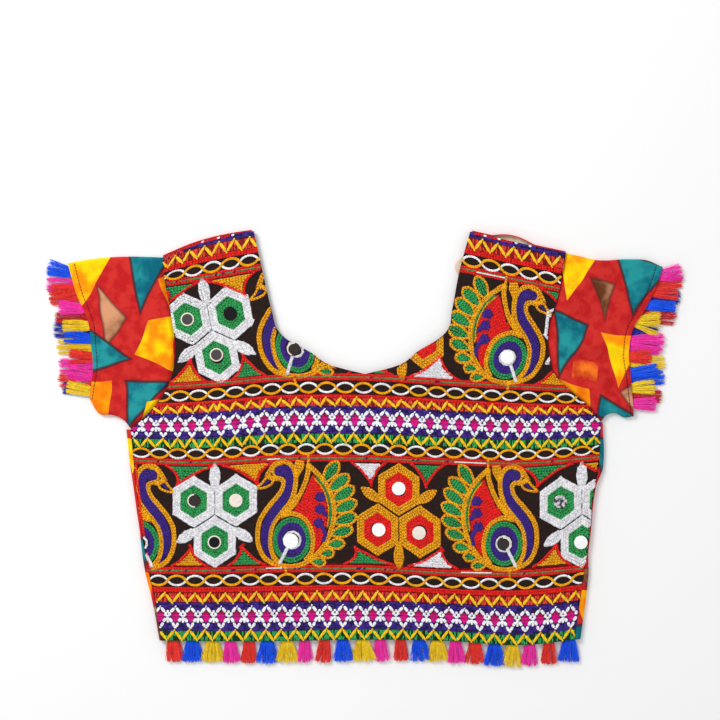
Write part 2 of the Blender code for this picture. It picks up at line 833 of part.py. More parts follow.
def cuff_tassels(table, side):
    """Return the place, length and turn of each cuff tassel, low ones first."""
    rows = sorted(table, key=lambda row: row.y)
    return [(row.y, row.length, math.radians(-side * row.turn)) for row in rows]


def build_mirror(name, place, material):
    """Build one round mirror lying on the front panel."""
    x = place.x
    y = plan_y(x, place.height)
    level = max(front_top(x + dx, place.height + dy)
                for dx in (-MIRROR_RADIUS, 0.0, MIRROR_RADIUS)
                for dy in (-MIRROR_RADIUS, 0.0, MIRROR_RADIUS))
    bottom = level + MIRROR_LIFT
    points = []
    for z in (bottom, bottom + MIRROR_THICK):
        for side in range(MIRROR_SIDES):
            angle = 2.0 * math.pi * side / MIRROR_SIDES
            points.append((x + MIRROR_RADIUS * math.cos(angle),
                           y + MIRROR_RADIUS * math.sin(angle), z))
    count = MIRROR_SIDES
    faces = [list(reversed(range(count))), [count + side for side in range(count)]]
    for side in range(count):
        after = (side + 1) % count
        faces.append([side, after, count + after, count + side])
    return add_piece(name, points, faces, material)


def build_blouse():
    """Build every piece of the blouse."""
    for item in list(bpy.data.objects):
        bpy.data.objects.remove(item, do_unlink=True)
    build_front(make_material("embroidered_front", COLOURS["front"], 0.85))
    build_back(make_material("back_print", COLOURS["print"], 0.85))
    left = SleeveShape(-1, left_armhole, UNDERARM_HEIGHT_LEFT, LEFT_SLEEVE_TOP,
                       LEFT_CUFF, LEFT_SLEEVE_UNDER, LEFT_SLEEVE_SWELLS)
    right = SleeveShape(1, right_armhole, UNDERARM_HEIGHT_RIGHT, RIGHT_SLEEVE_TOP,
                        RIGHT_CUFF, RIGHT_SLEEVE_UNDER, RIGHT_SLEEVE_SWELLS)
    build_sleeve("sleeve_left", left, make_material("sleeve_left_print", COLOURS["print"], 0.85))
    build_sleeve("sleeve_right", right, make_material("sleeve_right_print", COLOURS["print"], 0.85))
    fringes = (
        ("hem_fringe_front", hem_line, hem_tassels(), HEM_TASSEL_FAN, "upper"),
        ("hem_fringe_back", hem_line, hem_tassels(), HEM_TASSEL_FAN, "lower"),
        ("sleeve_left_fringe_upper", cuff_line(left),
         cuff_tassels(LEFT_CUFF_UPPER, -1), CUFF_TASSEL_FAN, "upper"),
        ("sleeve_left_fringe_lower", cuff_line(left),
         cuff_tassels(LEFT_CUFF_LOWER, -1), CUFF_TASSEL_FAN, "lower"),
        ("sleeve_right_fringe_upper", cuff_line(right),
         cuff_tassels(RIGHT_CUFF_UPPER, 1), CUFF_TASSEL_FAN, "upper"),
        ("sleeve_right_fringe_lower", cuff_line(right),
         cuff_tassels(RIGHT_CUFF_LOWER, 1), CUFF_TASSEL_FAN, "lower"),
    )
    levels = {"upper": (UPPER_TAPE_Z, UPPER_TIP_Z), "lower": (LOWER_TAPE_Z, LOWER_TIP_Z)}
    for name, line, tassels, fan, layer in fringes:
        tape_z, tip_z = levels[layer]
        material = make_material(name + "_thread", COLOURS["fringe"], 0.7)
        build_fringe(name, line, tassels, fan, tape_z, tip_z, material)
    for number, place in enumerate(MIRRORS, 1):
        name = "mirror_%02d" % number
        build_mirror(name, place, make_material(name + "_glass", COLOURS["mirror"], 0.05, 1.0))


build_blouse()
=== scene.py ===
# %% [markdown]
# # A short embroidered choli blouse, laid flat
#
# The blouse lies on a table with its front up.  An imported model already holds
# its plain solids at their real size.  This lesson dresses them: thin cloth,
# a printed back and sleeves, chain stitching in bright thread, small round
# mirrors and rows of cut tassels.  The first step loads the model.

# %% Load the imported model
import math
from collections import namedtuple

import bpy
import numpy as np
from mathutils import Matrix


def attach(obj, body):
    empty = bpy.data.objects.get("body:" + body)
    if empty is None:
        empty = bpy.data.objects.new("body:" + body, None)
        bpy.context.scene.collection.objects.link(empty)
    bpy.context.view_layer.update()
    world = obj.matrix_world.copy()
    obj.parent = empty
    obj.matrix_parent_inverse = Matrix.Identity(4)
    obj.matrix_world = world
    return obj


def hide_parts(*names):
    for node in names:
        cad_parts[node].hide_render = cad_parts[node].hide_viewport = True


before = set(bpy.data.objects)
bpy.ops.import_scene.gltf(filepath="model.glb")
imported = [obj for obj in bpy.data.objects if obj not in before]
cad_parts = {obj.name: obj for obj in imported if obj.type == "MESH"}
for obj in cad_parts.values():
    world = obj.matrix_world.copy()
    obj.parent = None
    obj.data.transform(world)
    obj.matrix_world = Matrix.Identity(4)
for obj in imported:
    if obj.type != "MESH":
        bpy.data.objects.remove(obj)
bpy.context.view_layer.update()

MM = 0.001
print("packed nodes:", len(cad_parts))

# %% [markdown]
# ## The camera
#
# The picture was taken from straight above.  A long lens from 1.5 m keeps
# the edges free of perspective, and the width of table in the picture sets it.

# %% Camera straight above
PICTURE_WIDTH = 0.684
PICTURE_CENTRE = (-0.0057, 0.0855)
CAMERA_HEIGHT = 1.5
CLOTH_LEVEL = 0.005
SENSOR = 36.0

camera_data = bpy.data.cameras.new("camera")
camera_data.sensor_width = SENSOR
camera_data.lens = SENSOR * (CAMERA_HEIGHT - CLOTH_LEVEL) / PICTURE_WIDTH
camera = bpy.data.objects.new("camera", camera_data)
camera.location = (*PICTURE_CENTRE, CAMERA_HEIGHT)
bpy.context.collection.objects.link(camera)
bpy.context.scene.camera = camera
print("lens: %.1f mm" % camera_data.lens)

# %% [markdown]
# ## Floor and light
#
# The floor is a plain pale sheet that fades into the sky, as paper does in a
# photo studio.  The sky gives even light from all round.  One large soft
# lamp high on the left adds the small shadows that show stitches and folds.
# The plain Standard view keeps the thread as bright as its real colours.

# %% Floor, sky and soft lamp
FLOOR_DROP = 0.0004
FLOOR_SIZE = 8.0
FLOOR_TONE = 0.93
SKY_STRENGTH = 0.72
LAMP_PLACE = (-1.1, 1.2, 1.5)
LAMP_SIZE = 0.9
LAMP_POWER = 26.0


def deselect_all():
    """Leave object mode clean, with nothing selected."""
    if bpy.context.object and bpy.context.object.mode != "OBJECT":
        bpy.ops.object.mode_set(mode="OBJECT")
    bpy.ops.object.select_all(action="DESELECT")


def plain_material(name, colour, roughness, gloss=0.12):
    """Return a new material of one colour."""
    material = bpy.data.materials.new(name)
    material.use_nodes = True
    shader = material.node_tree.nodes["Principled BSDF"]
    shader.inputs["Base Color"].default_value = (*colour, 1.0)
    shader.inputs["Roughness"].default_value = roughness
    shader.inputs["Specular IOR Level"].default_value = gloss
    return material


deselect_all()
bpy.ops.mesh.primitive_plane_add(size=FLOOR_SIZE, location=(0.0, 0.0, -FLOOR_DROP))
floor = bpy.context.object
floor.name = "floor"
floor.data.materials.append(plain_material("pale_floor", (FLOOR_TONE,) * 3, 0.9))

world = bpy.data.worlds.new("studio_sky")
world.use_nodes = True
sky = world.node_tree.nodes["Background"]
sky.inputs["Color"].default_value = (1.0, 1.0, 1.0, 1.0)
sky.inputs["Strength"].default_value = SKY_STRENGTH
bpy.context.scene.world = world
bpy.context.scene.view_settings.view_transform = "Standard"

lamp_data = bpy.data.lights.new("soft_lamp", "AREA")
lamp_data.shape = "DISK"
lamp_data.size = LAMP_SIZE
lamp_data.energy = LAMP_POWER
lamp = bpy.data.objects.new("soft_lamp", lamp_data)
lamp.location = LAMP_PLACE
lamp.rotation_euler = (-lamp.location).to_track_quat("-Z", "Y").to_euler()
bpy.context.collection.objects.link(lamp)
print("floor, sky and lamp are ready")

# %% [markdown]
# ## Where the cloth lies
#
# The bands of the front lie a little uneven, as hand-worked cloth does.  So
# a place on the cloth is given as x and height, where height is measured up
# the cloth from the hem, along the bands.  A few smooth curves turn x and
# height into the real place.  Lengths in these tables are millimetres.

# %% Smooth curves through a few measured places


def smooth_curve(places, values):
    """Return a smooth function through the given values."""
    places = np.asarray(places, float)
    values = np.asarray(values, float)
    steps = np.diff(places)
    slopes = np.diff(values) / steps
    inner = (slopes[:-1] * steps[1:] + slopes[1:] * steps[:-1]) / (steps[1:] + steps[:-1])
    tangents = np.concatenate((slopes[:1], inner, slopes[-1:]))

    def value_at(place):
        place = np.asarray(place, float)
        index = np.clip(np.searchsorted(places, place) - 1, 0, len(steps) - 1)
        step = steps[index]
        share = (place - places[index]) / step
        t = np.clip(share, 0.0, 1.0)
        rise = values[index] * (2 * t**3 - 3 * t**2 + 1)
        rise = rise + values[index + 1] * (3 * t**2 - 2 * t**3)
        rise = rise + tangents[index] * step * (t**3 - 2 * t**2 + t)
        rise = rise + tangents[index + 1] * step * (t**3 - t**2)
        return rise + (share - t) * step * tangents[index]

    return value_at


STATIONS = (-224, -158, -82, 0, 80, 146, 222)
# For each height, the y of its line at the stations.
BAND_LINES = {
    0: (-180.5, -181.4, -181.4, -180, -181.4, -185.2, -176.7),
    67: (-114, -114.5, -113, -112.6, -116.8, -117.3, -110.7),
    172.5: (-9.5, -11.4, -7.6, -7.6, -10.4, -12.3, -6.2),
    250: (59.4, 63, 69.6, 70.2, 65.2, 61.4, 57.4),
    349: (152, 162.9, 175.8, 182.4, 173.4, 160.5, 144.4),
    384: (169.1, 197.6, 210.9, 216.6, 210.9, 196.6, 180.5),
}
BAND_CURVES = [smooth_curve(STATIONS, line) for line in BAND_LINES.values()]
BAND_HEIGHTS = np.array(list(BAND_LINES))


def plan_y(x, height):
    """Return the y of the cloth at this x and height."""
    x, height = np.broadcast_arrays(np.asarray(x, float), np.asarray(height, float))
    lines = np.stack([curve(x) for curve in BAND_CURVES])
    index = np.clip(np.searchsorted(BAND_HEIGHTS, height) - 1, 0, len(BAND_HEIGHTS) - 2)
    low, high = BAND_HEIGHTS[index], BAND_HEIGHTS[index + 1]
    share = np.clip((height - low) / (high - low), 0.0, 1.0)
    below = np.take_along_axis(lines, index[None], 0)[0]
    above = np.take_along_axis(lines, index[None] + 1, 0)[0]
    return below + (above - below) * share


print("the hem at x = 0 lies at y = %.1f mm" % plan_y(0.0, 0.0))

# %% Edges of the front
FRONT_HEIGHT = 384.0
NECK_POINT_HEIGHT = 251.7
NECK_POINT_X = -1.0
UNDERARM_LEFT = 205.0
UNDERARM_RIGHT = 212.0
LEFT_SIDE = ((0, -194), (45, -201.6), (72, -207.6), (110, -213.6), (150, -218.4), (205, -223.2))
LEFT_ARMHOLE = ((205, -223.2), (221, -208), (240, -192.8), (258, -185),
                (280, -181.4), (314, -184.3), (351, -190.9), (384, -193))
RIGHT_SIDE = ((0, 197.6), (65, 207.4), (97, 212.2), (131, 215.4), (160, 220.4), (212, 222.8))
RIGHT_ARMHOLE = ((212, 222.8), (230, 212), (246, 195.7), (261, 180.5),
                 (283, 173.8), (312, 173.8), (335, 180.5), (384, 190))
LEFT_NECK = ((251.7, -1), (256.4, -24.7), (270.6, -53.2), (284, -77),
             (292, -84.2), (308, -89.2), (345, -98.2), (384, -106.8))
RIGHT_NECK = ((251.7, -1), (257.7, 22.8), (275, 51.3), (287, 70.3),
              (294, 77.2), (312, 81.7), (345, 88.3), (384, 99))


def edge_curve(table):
    """Return the x of an edge as a smooth function of height."""
    return smooth_curve(*zip(*table))


def outer_edge(side, armhole, underarm):
    """Return the x of an outer edge: side seam up to the underarm, then armhole."""
    return lambda height: np.where(height <= underarm, side(height), armhole(height))


left_armhole, right_armhole = edge_curve(LEFT_ARMHOLE), edge_curve(RIGHT_ARMHOLE)
left_edge = outer_edge(edge_curve(LEFT_SIDE), left_armhole, UNDERARM_LEFT)
right_edge = outer_edge(edge_curve(RIGHT_SIDE), right_armhole, UNDERARM_RIGHT)
left_neck, right_neck = edge_curve(LEFT_NECK), edge_curve(RIGHT_NECK)
print("chest at the underarm: %.0f mm wide" % (right_edge(205.0) - left_edge(205.0)))

# %% [markdown]
# ## Soft swells
#
# Cloth that lies flat is never quite level.  Each swell is a long low mound
# or trough, and all of them are added up at a place.

# %% Heights of the cloth
FRONT_TOP = 5.2
HEM_EXTRA = 0.8
HEM_EXTRA_REACH = 16.0
# Each swell: x and y of its middle, length, width, turn in degrees, and lift.
FRONT_SWELLS = (
    (-150, -60, 70, 26, 80, 0.45),
    (-60, -95, 80, 24, 95, -0.40),
    (40, -30, 90, 28, 85, 0.40),
    (125, -80, 80, 24, 100, -0.35),
    (175, -20, 60, 20, 75, 0.40),
    (-110, 90, 50, 22, 60, 0.35),
    (110, 100, 55, 20, 115, 0.40),
    (0, 30, 70, 18, 0, -0.30),
)


def swell_lift(x, y, swells):
    """Return the height that the soft swells add at each place."""
    total = np.zeros(np.shape(x))
    for middle_x, middle_y, length, width, degrees, lift in swells:
        turn = math.radians(degrees)
        dx, dy = x - middle_x, y - middle_y
        along = (dx * math.cos(turn) + dy * math.sin(turn)) / length
        across = (dy * math.cos(turn) - dx * math.sin(turn)) / width
        total = total + lift * np.exp(-(along**2 + across**2))
    return total


def front_top(x, height):
    """Return the z of the front's upper surface."""
    near_hem = np.minimum(height / HEM_EXTRA_REACH, 1.0)
    hem = HEM_EXTRA * np.exp(-(height / HEM_EXTRA_REACH)**2)
    return FRONT_TOP + hem + near_hem * swell_lift(x, plan_y(x, height), FRONT_SWELLS)


def on_front(x, height, lift=0.0):
    """Return places on the front, lifted off its surface."""
    return np.stack([x, plan_y(x, height), front_top(x, height) + lift], axis=-1)


print("top of the front at its middle: z = %.2f mm" % front_top(0.0, 120.0))

# %% [markdown]
# ## Helpers for sheets of cloth
#
# Each sheet starts as a flat grid.  Its points are moved to where the cloth
# lies, its parts are joined and merged, and a Solidify modifier thickens it.

# %% Grids that become cloth
CLOTH_CORNER = math.radians(50)


def edit_all():
    """Enter edit mode with every point selected."""
    bpy.ops.object.mode_set(mode="EDIT")
    bpy.ops.mesh.select_all(action="SELECT")


def leave_edit():
    """Go back to object mode, which stores the edits in the mesh."""
    bpy.ops.object.mode_set(mode="OBJECT")


def add_grid(columns, rows):
    """Add a flat grid and return it with each point's column and row."""
    deselect_all()
    bpy.ops.mesh.primitive_grid_add(x_subdivisions=columns, y_subdivisions=rows, size=1.0,
                                    location=(0.0, 0.0, 0.0))
    grid = bpy.context.object
    places = np.array([vertex.co[:2] for vertex in grid.data.vertices]) + 0.5
    column, row = np.rint(places * (columns, rows)).astype(int).T
    return grid, column, row


def set_places(piece, places):
    """Move every point of a mesh to its place in millimetres."""
    piece.data.vertices.foreach_set("co", (places * MM).astype(np.float32).ravel())
    piece.data.update()


def join_pieces(name, parts, merge=0.05):
    """Join sheets, merge the edges that they share and face them alike."""
    deselect_all()
    for part in parts:
        part.select_set(True)
    bpy.context.view_layer.objects.active = parts[0]
    if len(parts) > 1:
        bpy.ops.object.join()
    piece = bpy.context.object
    piece.name = name
    piece.data.name = name
    edit_all()
    bpy.ops.mesh.remove_doubles(threshold=merge * MM)
    bpy.ops.mesh.normals_make_consistent(inside=False)
    leave_edit()
    return piece


def face_up(piece, up=True):
    """Turn all faces of an open sheet so that most point up, or down."""
    points_up = sum(face.normal.z for face in piece.data.polygons) > 0.0
    if points_up != up:
        edit_all()
        bpy.ops.mesh.flip_normals()
        leave_edit()


def thicken(piece, thickness, materials, inner_slot=0):
    """Thicken a sheet inwards from its outer side, and shade it."""
    for material in materials:
        piece.data.materials.append(material)
    wall = piece.modifiers.new("wall", "SOLIDIFY")
    wall.thickness = thickness * MM
    wall.offset = -1.0
    wall.use_even_offset = False
    wall.material_offset = inner_slot
    bpy.ops.object.modifier_apply(modifier=wall.name)
    bpy.ops.object.shade_smooth_by_angle(angle=CLOTH_CORNER)


def triangles(*pieces):
    """Count the triangles of some meshes."""
    return sum(len(face.vertices) - 2 for piece in pieces for face in piece.data.polygons)


print("cloth helpers are ready")

# %% [markdown]
# ## The dark cotton of the front
#
# The front is black-brown cotton, worked all over in coloured thread.  Where
# thread covers a whole band, the cloth under it is painted a dark copy of the
# thread's colour, a painted shade of the thread between stitches, so that no
# black-brown gaps show.  The colours come from a ramp on the cloth's own
# height, and a fine weave comes from two crossed waves.

# %% Material helpers
WAVE_REACH = 0.314


def set_input(tree, socket, value):
    """Link an input to another node's output, or set its value."""
    if isinstance(value, bpy.types.NodeSocket):
        tree.links.new(value, socket)
    elif socket.type == "RGBA":
        socket.default_value = (*value, 1.0)
    else:
        socket.default_value = value


def set_shader(material, inputs):
    """Link or set some inputs of the material's own shader."""
    tree = material.node_tree
    for name, value in inputs.items():
        set_input(tree, tree.nodes["Principled BSDF"].inputs[name], value)


def add_node(tree, kind, inputs=(), **settings):
    """Add a shader node with its settings and inputs."""
    node = tree.nodes.new("ShaderNode" + kind)
    for name, value in settings.items():
        setattr(node, name, value)
    for name, value in dict(inputs).items():
        set_input(tree, node.inputs[name], value)
    return node


def add_math(tree, operation, *values):
    """Work out one number from others and return its socket."""
    return add_node(tree, "Math", enumerate(values), operation=operation).outputs[0]


def add_vector_math(tree, operation, *values):
    """Work out one vector, or a dot product, and return its socket."""
    node = add_node(tree, "VectorMath", enumerate(values), operation=operation)
    return node.outputs["Value" if operation == "DOT_PRODUCT" else "Vector"]


def add_noise(tree, coordinates, scale, detail=2.0, output="Fac"):
    """Add noise on some coordinates and return its value, or its colour."""
    node = add_node(tree, "TexNoise", {"Vector": coordinates, "Scale": scale, "Detail": detail})
    return node.outputs[output]


def add_mix(tree, factor, first, second, blend="MIX"):
    """Mix two colours, each a socket or three numbers."""
    node = add_node(tree, "Mix", {}, data_type="RGBA", blend_type=blend)
    for number, value in ((0, factor), (6, first), (7, second)):
        set_input(tree, node.inputs[number], value)
    return node.outputs[2]


def add_range(tree, value, low, high, to_low=0.0, to_high=1.0):
    """Map a value smoothly from one range to another."""
    inputs = {"Value": value, "From Min": low, "From Max": high, "To Min": to_low, "To Max": to_high}
    return add_node(tree, "MapRange", inputs, interpolation_type="SMOOTHSTEP").outputs["Result"]


def add_tint(tree, cloud, dark, light, low=0.3, high=0.7):
    """Return a colour that drifts between two others as a cloudy value does."""
    return add_mix(tree, add_range(tree, cloud, low, high), dark, light)


def add_bump(material, height, strength, distance):
    """Let the surface of a material seem to rise and fall."""
    bump = add_node(material.node_tree, "Bump",
                    {"Height": height, "Strength": strength, "Distance": distance})
    set_shader(material, {"Normal": bump.outputs["Normal"]})


def add_weave(material, coordinates, pitch, strength, distance):
    """Add the bump of a plain weave, its threads pitch metres apart."""
    tree = material.node_tree
    inputs = {"Vector": coordinates, "Scale": WAVE_REACH / pitch, "Distortion": 1.2, "Detail": 1.0}
    waves = [add_node(tree, "TexWave", inputs, bands_direction=way).outputs["Fac"] for way in "XY"]
    add_bump(material, add_math(tree, "MAXIMUM", *waves), strength, distance)


def srgb(red, green, blue):
    """Turn a screen colour, 0 to 255, into the shader's linear values."""
    return tuple(((part / 255.0 + 0.055) / 1.055)**2.4 if part > 10 else part / 3294.6
                 for part in (red, green, blue))


def linear_colours(seen):
    """Return named colours as the shader's linear values."""
    return {name: srgb(*colour) for name, colour in seen.items()}


print("white thread in linear values:", [round(part, 3) for part in srgb(232, 230, 232)])

# %% Colours and the front's material
BLACK_COTTON = srgb(40, 27, 24)
# grey, amber and scarlet serve only as painted shade under chain loops; fern and indigo serve as that
# painted shade and as random thread tones.
THREAD = linear_colours({
    "white": (250, 248, 252), "green": (48, 164, 86), "fern": (8, 46, 24), "orange": (255, 176, 8),
    "violet": (64, 36, 140), "indigo": (36, 16, 84), "red": (240, 28, 22), "magenta": (214, 0, 134),
    "crimson": (168, 0, 78), "yellow": (255, 198, 28), "gold": (255, 196, 0),
    "olive": (110, 134, 78), "rust": (150, 96, 72), "salmon": (232, 66, 48), "brick": (140, 16, 18),
    "grey": (204, 202, 210), "amber": (156, 74, 4), "scarlet": (176, 10, 10),
})
# The thread colour whose dark copy, a painted shade, lies under the thread from each height up to the next.
# None is bare cotton.
GROUND = (
    (0, "green"), (9.5, "violet"), (37, "salmon"), (45.6, "red"), (51.5, None), (64.5, "red"),
    (71.3, None), (168.9, "red"), (175.2, None), (186.4, "green"), (195.2, "violet"),
    (221.2, "salmon"), (229.1, "red"), (232.4, None), (246.2, "red"), (251.2, None), (346.6, "red"),
    (352.6, None), (364, "red"), (368.2, "salmon"), (378.7, "violet"), (385, None),
)
# How dark the painted shade under a band is, as a share of the thread's colour.
GROUND_GAP_SHADE = 0.2
RAMP_REACH = 400.0


def front_material():
    """Return the front's cotton, with painted shade of the thread under the worked bands."""
    material = plain_material("embroidered_front", BLACK_COTTON, 0.85)
    tree = material.node_tree
    uv = add_node(tree, "UVMap", uv_map="UVMap").outputs["UV"]
    height = add_node(tree, "SeparateXYZ", {"Vector": uv}).outputs["Y"]
    ramp = add_node(tree, "ValToRGB", {"Fac": add_math(tree, "DIVIDE", height, RAMP_REACH * MM)})
    ramp.color_ramp.interpolation = "CONSTANT"
    elements = ramp.color_ramp.elements
    elements.remove(elements[1])
    for start, colour in GROUND:
        element = elements.new(start / RAMP_REACH) if start else elements[0]
        # Under a band: the thread's colour darkened, a painted shade between the stitches.
        under = [GROUND_GAP_SHADE * part for part in THREAD[colour]] if colour else BLACK_COTTON
        element.color = (*under, 1.0)
    shade = add_range(tree, add_noise(tree, uv, 260.0, 4.0), 0.3, 0.7, 0.75, 1.15)
    shaded = add_mix(tree, 1.0, ramp.outputs["Color"], shade, "MULTIPLY")
    set_shader(material, {"Base Color": shaded})
    add_weave(material, uv, 0.0009, 0.5, 0.0003)
    return material


FRONT_COTTON = front_material()
print("heights where the cloth changes colour:", len(GROUND))

# %% [markdown]
# ## The front panel
#
# The front is one cut piece, made from three grids: the body up to the neck
# point, and a strap on each side.  Their columns meet point to point.

# %% Front cloth
FRONT_COLUMNS = 66
SIDE_ROWS, ARMPIT_ROWS, CHEST_ROWS = 63, 3, 13
STRAP_STEPS = 42
FRONT_THICK = 1.5
BODY_HEIGHTS = np.concatenate((np.linspace(0.0, UNDERARM_LEFT, SIDE_ROWS)[:-1],
                               np.linspace(UNDERARM_LEFT, UNDERARM_RIGHT, ARMPIT_ROWS)[:-1],
                               np.linspace(UNDERARM_RIGHT, NECK_POINT_HEIGHT, CHEST_ROWS)))
STRAP_HEIGHTS = np.linspace(NECK_POINT_HEIGHT, FRONT_HEIGHT, STRAP_STEPS + 1)


def body_x(height, column, columns):
    """Return x across the body, with columns steps on each side of the middle."""
    left_share = np.clip(column / columns, 0.0, 1.0)
    right_share = np.clip((column - columns) / columns, 0.0, 1.0)
    left = left_edge(height) + left_share * (NECK_POINT_X - left_edge(height))
    right = NECK_POINT_X + right_share * (right_edge(height) - NECK_POINT_X)
    return np.where(column <= columns, left, right)


def lay_on_front(grid, x, height):
    """Lay a grid on the front, with its flat place in metres as UV."""
    set_places(grid, on_front(x, height))
    corners = np.array([corner.vertex_index for corner in grid.data.loops])
    uv = np.stack([x[corners], height[corners]], axis=1) * MM
    grid.data.uv_layers[0].data.foreach_set("uv", uv.astype(np.float32).ravel())


def build_front():
    """Build the front panel's cloth."""
    grid, column, row = add_grid(2 * FRONT_COLUMNS, len(BODY_HEIGHTS) - 1)
    height = BODY_HEIGHTS[row]
    lay_on_front(grid, body_x(height, column, FRONT_COLUMNS), height)
    parts = [grid]
    for outer, inner in ((left_edge, left_neck), (right_edge, right_neck)):
        grid, column, row = add_grid(FRONT_COLUMNS, STRAP_STEPS)
        height = STRAP_HEIGHTS[row]
        x = outer(height) + (inner(height) - outer(height)) * column / FRONT_COLUMNS
        lay_on_front(grid, x, height)
        parts.append(grid)
    cloth = join_pieces("front_cloth", parts)
    face_up(cloth)
    thicken(cloth, FRONT_THICK, [FRONT_COTTON])
    return cloth


front_cloth = build_front()
print("front cloth:", triangles(front_cloth), "triangles")

# %% [markdown]
# ## Printed cotton
#
# The back and the sleeves are red cotton with a batik print of large shards
# in teal, yellow and brown, laid out here in an order of its own.  Each shard
# has three or four corners.  A shader can tell how far a point lies from its
# edges with a dot product for each, so one node group draws any shard.
# Noise bends the edges, as dye does.

# %% A node group that prints one shard
SHARD_EDGES = ("Edge A", "Edge B", "Edge C", "Edge D")
SHARD_BLEED = 0.35
OUTLINE_FADE = 2.2
OUTLINE_FULL = 0.3
OUTLINE_COLOUR = srgb(52, 30, 36)


def make_shard_group():
    """Return a node group that lays one shard over a colour."""
    group = bpy.data.node_groups.new("printed_shard", "ShaderNodeTree")
    kinds = {"Place": "Vector", **dict.fromkeys(SHARD_EDGES, "Vector"),
             "Below": "Color", "Fill": "Color", "Outline": "Float"}
    for name, kind in kinds.items():
        group.interface.new_socket(name, in_out="INPUT", socket_type="NodeSocket" + kind)
    group.interface.new_socket("Colour", in_out="OUTPUT", socket_type="NodeSocketColor")
    given = group.nodes.new("NodeGroupInput").outputs
    distances = [add_vector_math(group, "DOT_PRODUCT", given["Place"], given[name])
                 for name in SHARD_EDGES]
    outside = distances[0]
    for distance in distances[1:]:
        outside = add_math(group, "MAXIMUM", outside, distance)
    inside = add_range(group, outside, SHARD_BLEED, -SHARD_BLEED)
    filled_in = add_mix(group, inside, given["Below"], given["Fill"])
    rim = add_range(group, add_math(group, "ABSOLUTE", outside), OUTLINE_FADE, OUTLINE_FULL)
    weight = add_math(group, "MULTIPLY", rim, given["Outline"])
    outlined = add_mix(group, weight, filled_in, OUTLINE_COLOUR)
    set_input(group, group.nodes.new("NodeGroupOutput").inputs["Colour"], outlined)
    return group


SHARD_GROUP = make_shard_group()


def edge_vectors(corners):
    """Return a vector for each side whose dot with (x, y, 1) is the distance outside."""
    following = corners[1:] + corners[:1]
    if sum(x * next_y - next_x * y for (x, y), (next_x, next_y) in zip(corners, following)) < 0.0:
        corners = corners[::-1]
        following = corners[1:] + corners[:1]
    vectors = []
    for (x, y), (next_x, next_y) in zip(corners, following):
        length = math.hypot(next_x - x, next_y - y)
        out_x, out_y = (next_y - y) / length, (x - next_x) / length
        vectors.append((out_x, out_y, -(out_x * x + out_y * y)))
    return vectors


print("shard group has", len(SHARD_GROUP.nodes), "nodes")

# %% Print layout and materials
# Each shard: its dye and its corners.
LEFT_SLEEVE_SHARDS = (
    ("yellow", (-288, 186), (-238, 193), (-272, 134)),
    ("teal", (-226, 193), (-184, 190), (-214, 132)),
    ("orange", (-196, 164), (-180, 172), (-184, 132)),
    ("brown", (-256, 156), (-228, 128), (-248, 98)),
    ("yellow", (-206, 124), (-180, 128), (-184, 74), (-220, 92)),
    ("teal", (-278, 124), (-224, 88), (-264, 74)),
    ("orange", (-262, 66), (-242, 68), (-246, 26), (-264, 44)),
    ("teal", (-228, 66), (-188, 64), (-226, 22)),
    ("yellow", (-208, 46), (-196, 48), (-218, 12)),
)
RIGHT_SLEEVE_SHARDS = (
    ("yellow", (182, 194), (224, 188), (190, 142)),
    ("teal", (236, 190), (286, 172), (252, 128)),
    ("brown", (214, 164), (234, 156), (228, 124)),
    ("teal", (178, 134), (212, 118), (184, 72)),
    ("yellow", (224, 112), (262, 108), (240, 58)),
    ("cloud", (198, 90), (220, 84), (218, 66), (196, 70)),
    ("orange", (182, 68), (210, 58), (214, 28)),
    ("brown", (242, 54), (258, 66), (256, 36)),
    ("teal", (222, 52), (256, 32), (236, 24), (220, 32)),
)
BACK_SHARDS = (
    ("teal", (-219, -84), (-208, -84), (-211, -110)),
    ("orange", (-222, -112), (-203, -118), (-206, -150)),
    ("brown", (-214, -150), (-190, -146), (-196, -180)),
    ("yellow", (-232, 12), (-214, 10), (-222, -22)),
    ("orange", (-200, 196), (-178, 214), (-182, 190)),
    ("teal", (214, 12), (232, 10), (222, -24)),
    ("brown", (200, -112), (222, -112), (212, -136)),
    ("yellow", (198, -132), (216, -134), (207, -166)),
    ("teal", (190, -166), (214, -164), (200, -184)),
    ("yellow", (-120, 60), (-20, 40), (-70, -50)),
    ("teal", (30, 50), (130, 30), (60, -60)),
    ("brown", (-60, -80), (60, -70), (10, -160)),
    ("yellow", (90, -80), (170, -60), (140, -150)),
    ("teal", (-180, -60), (-90, -80), (-150, -150)),
)
# How strong the dark outline is; the other dyes have none.
OUTLINED = {"teal": 0.85, "brown": 0.55}


def cotton_fibres(material, coordinates, colour):
    """Give a cloth its colour, its weave and a faint nap."""
    set_shader(material, {"Base Color": colour, "Sheen Weight": 0.04})
    add_weave(material, coordinates, 0.0007, 0.25, 0.0002)


def print_fills(tree, coordinates):
    """Return the dyes' cloudy colours, as sockets."""
    soft = add_noise(tree, coordinates, 62.0, 8.0)
    fine = add_noise(tree, coordinates, 110.0, 8.0)
    streak = add_noise(tree, coordinates, 34.0, 10.0)
    dyes = {
        "red": (fine, srgb(188, 24, 28), srgb(206, 46, 40)),
        "yellow": (soft, srgb(255, 142, 0), srgb(250, 214, 0)),
        "orange": (soft, srgb(238, 112, 0), srgb(255, 160, 0)),
        "teal": (soft, srgb(0, 98, 118), srgb(34, 148, 152)),
        "brown": (streak, srgb(104, 54, 22), srgb(214, 152, 112)),
        "cloud": (soft, srgb(196, 30, 26), srgb(246, 120, 30)),
    }
    return {name: add_tint(tree, *dye, 0.36, 0.64) for name, dye in dyes.items()}


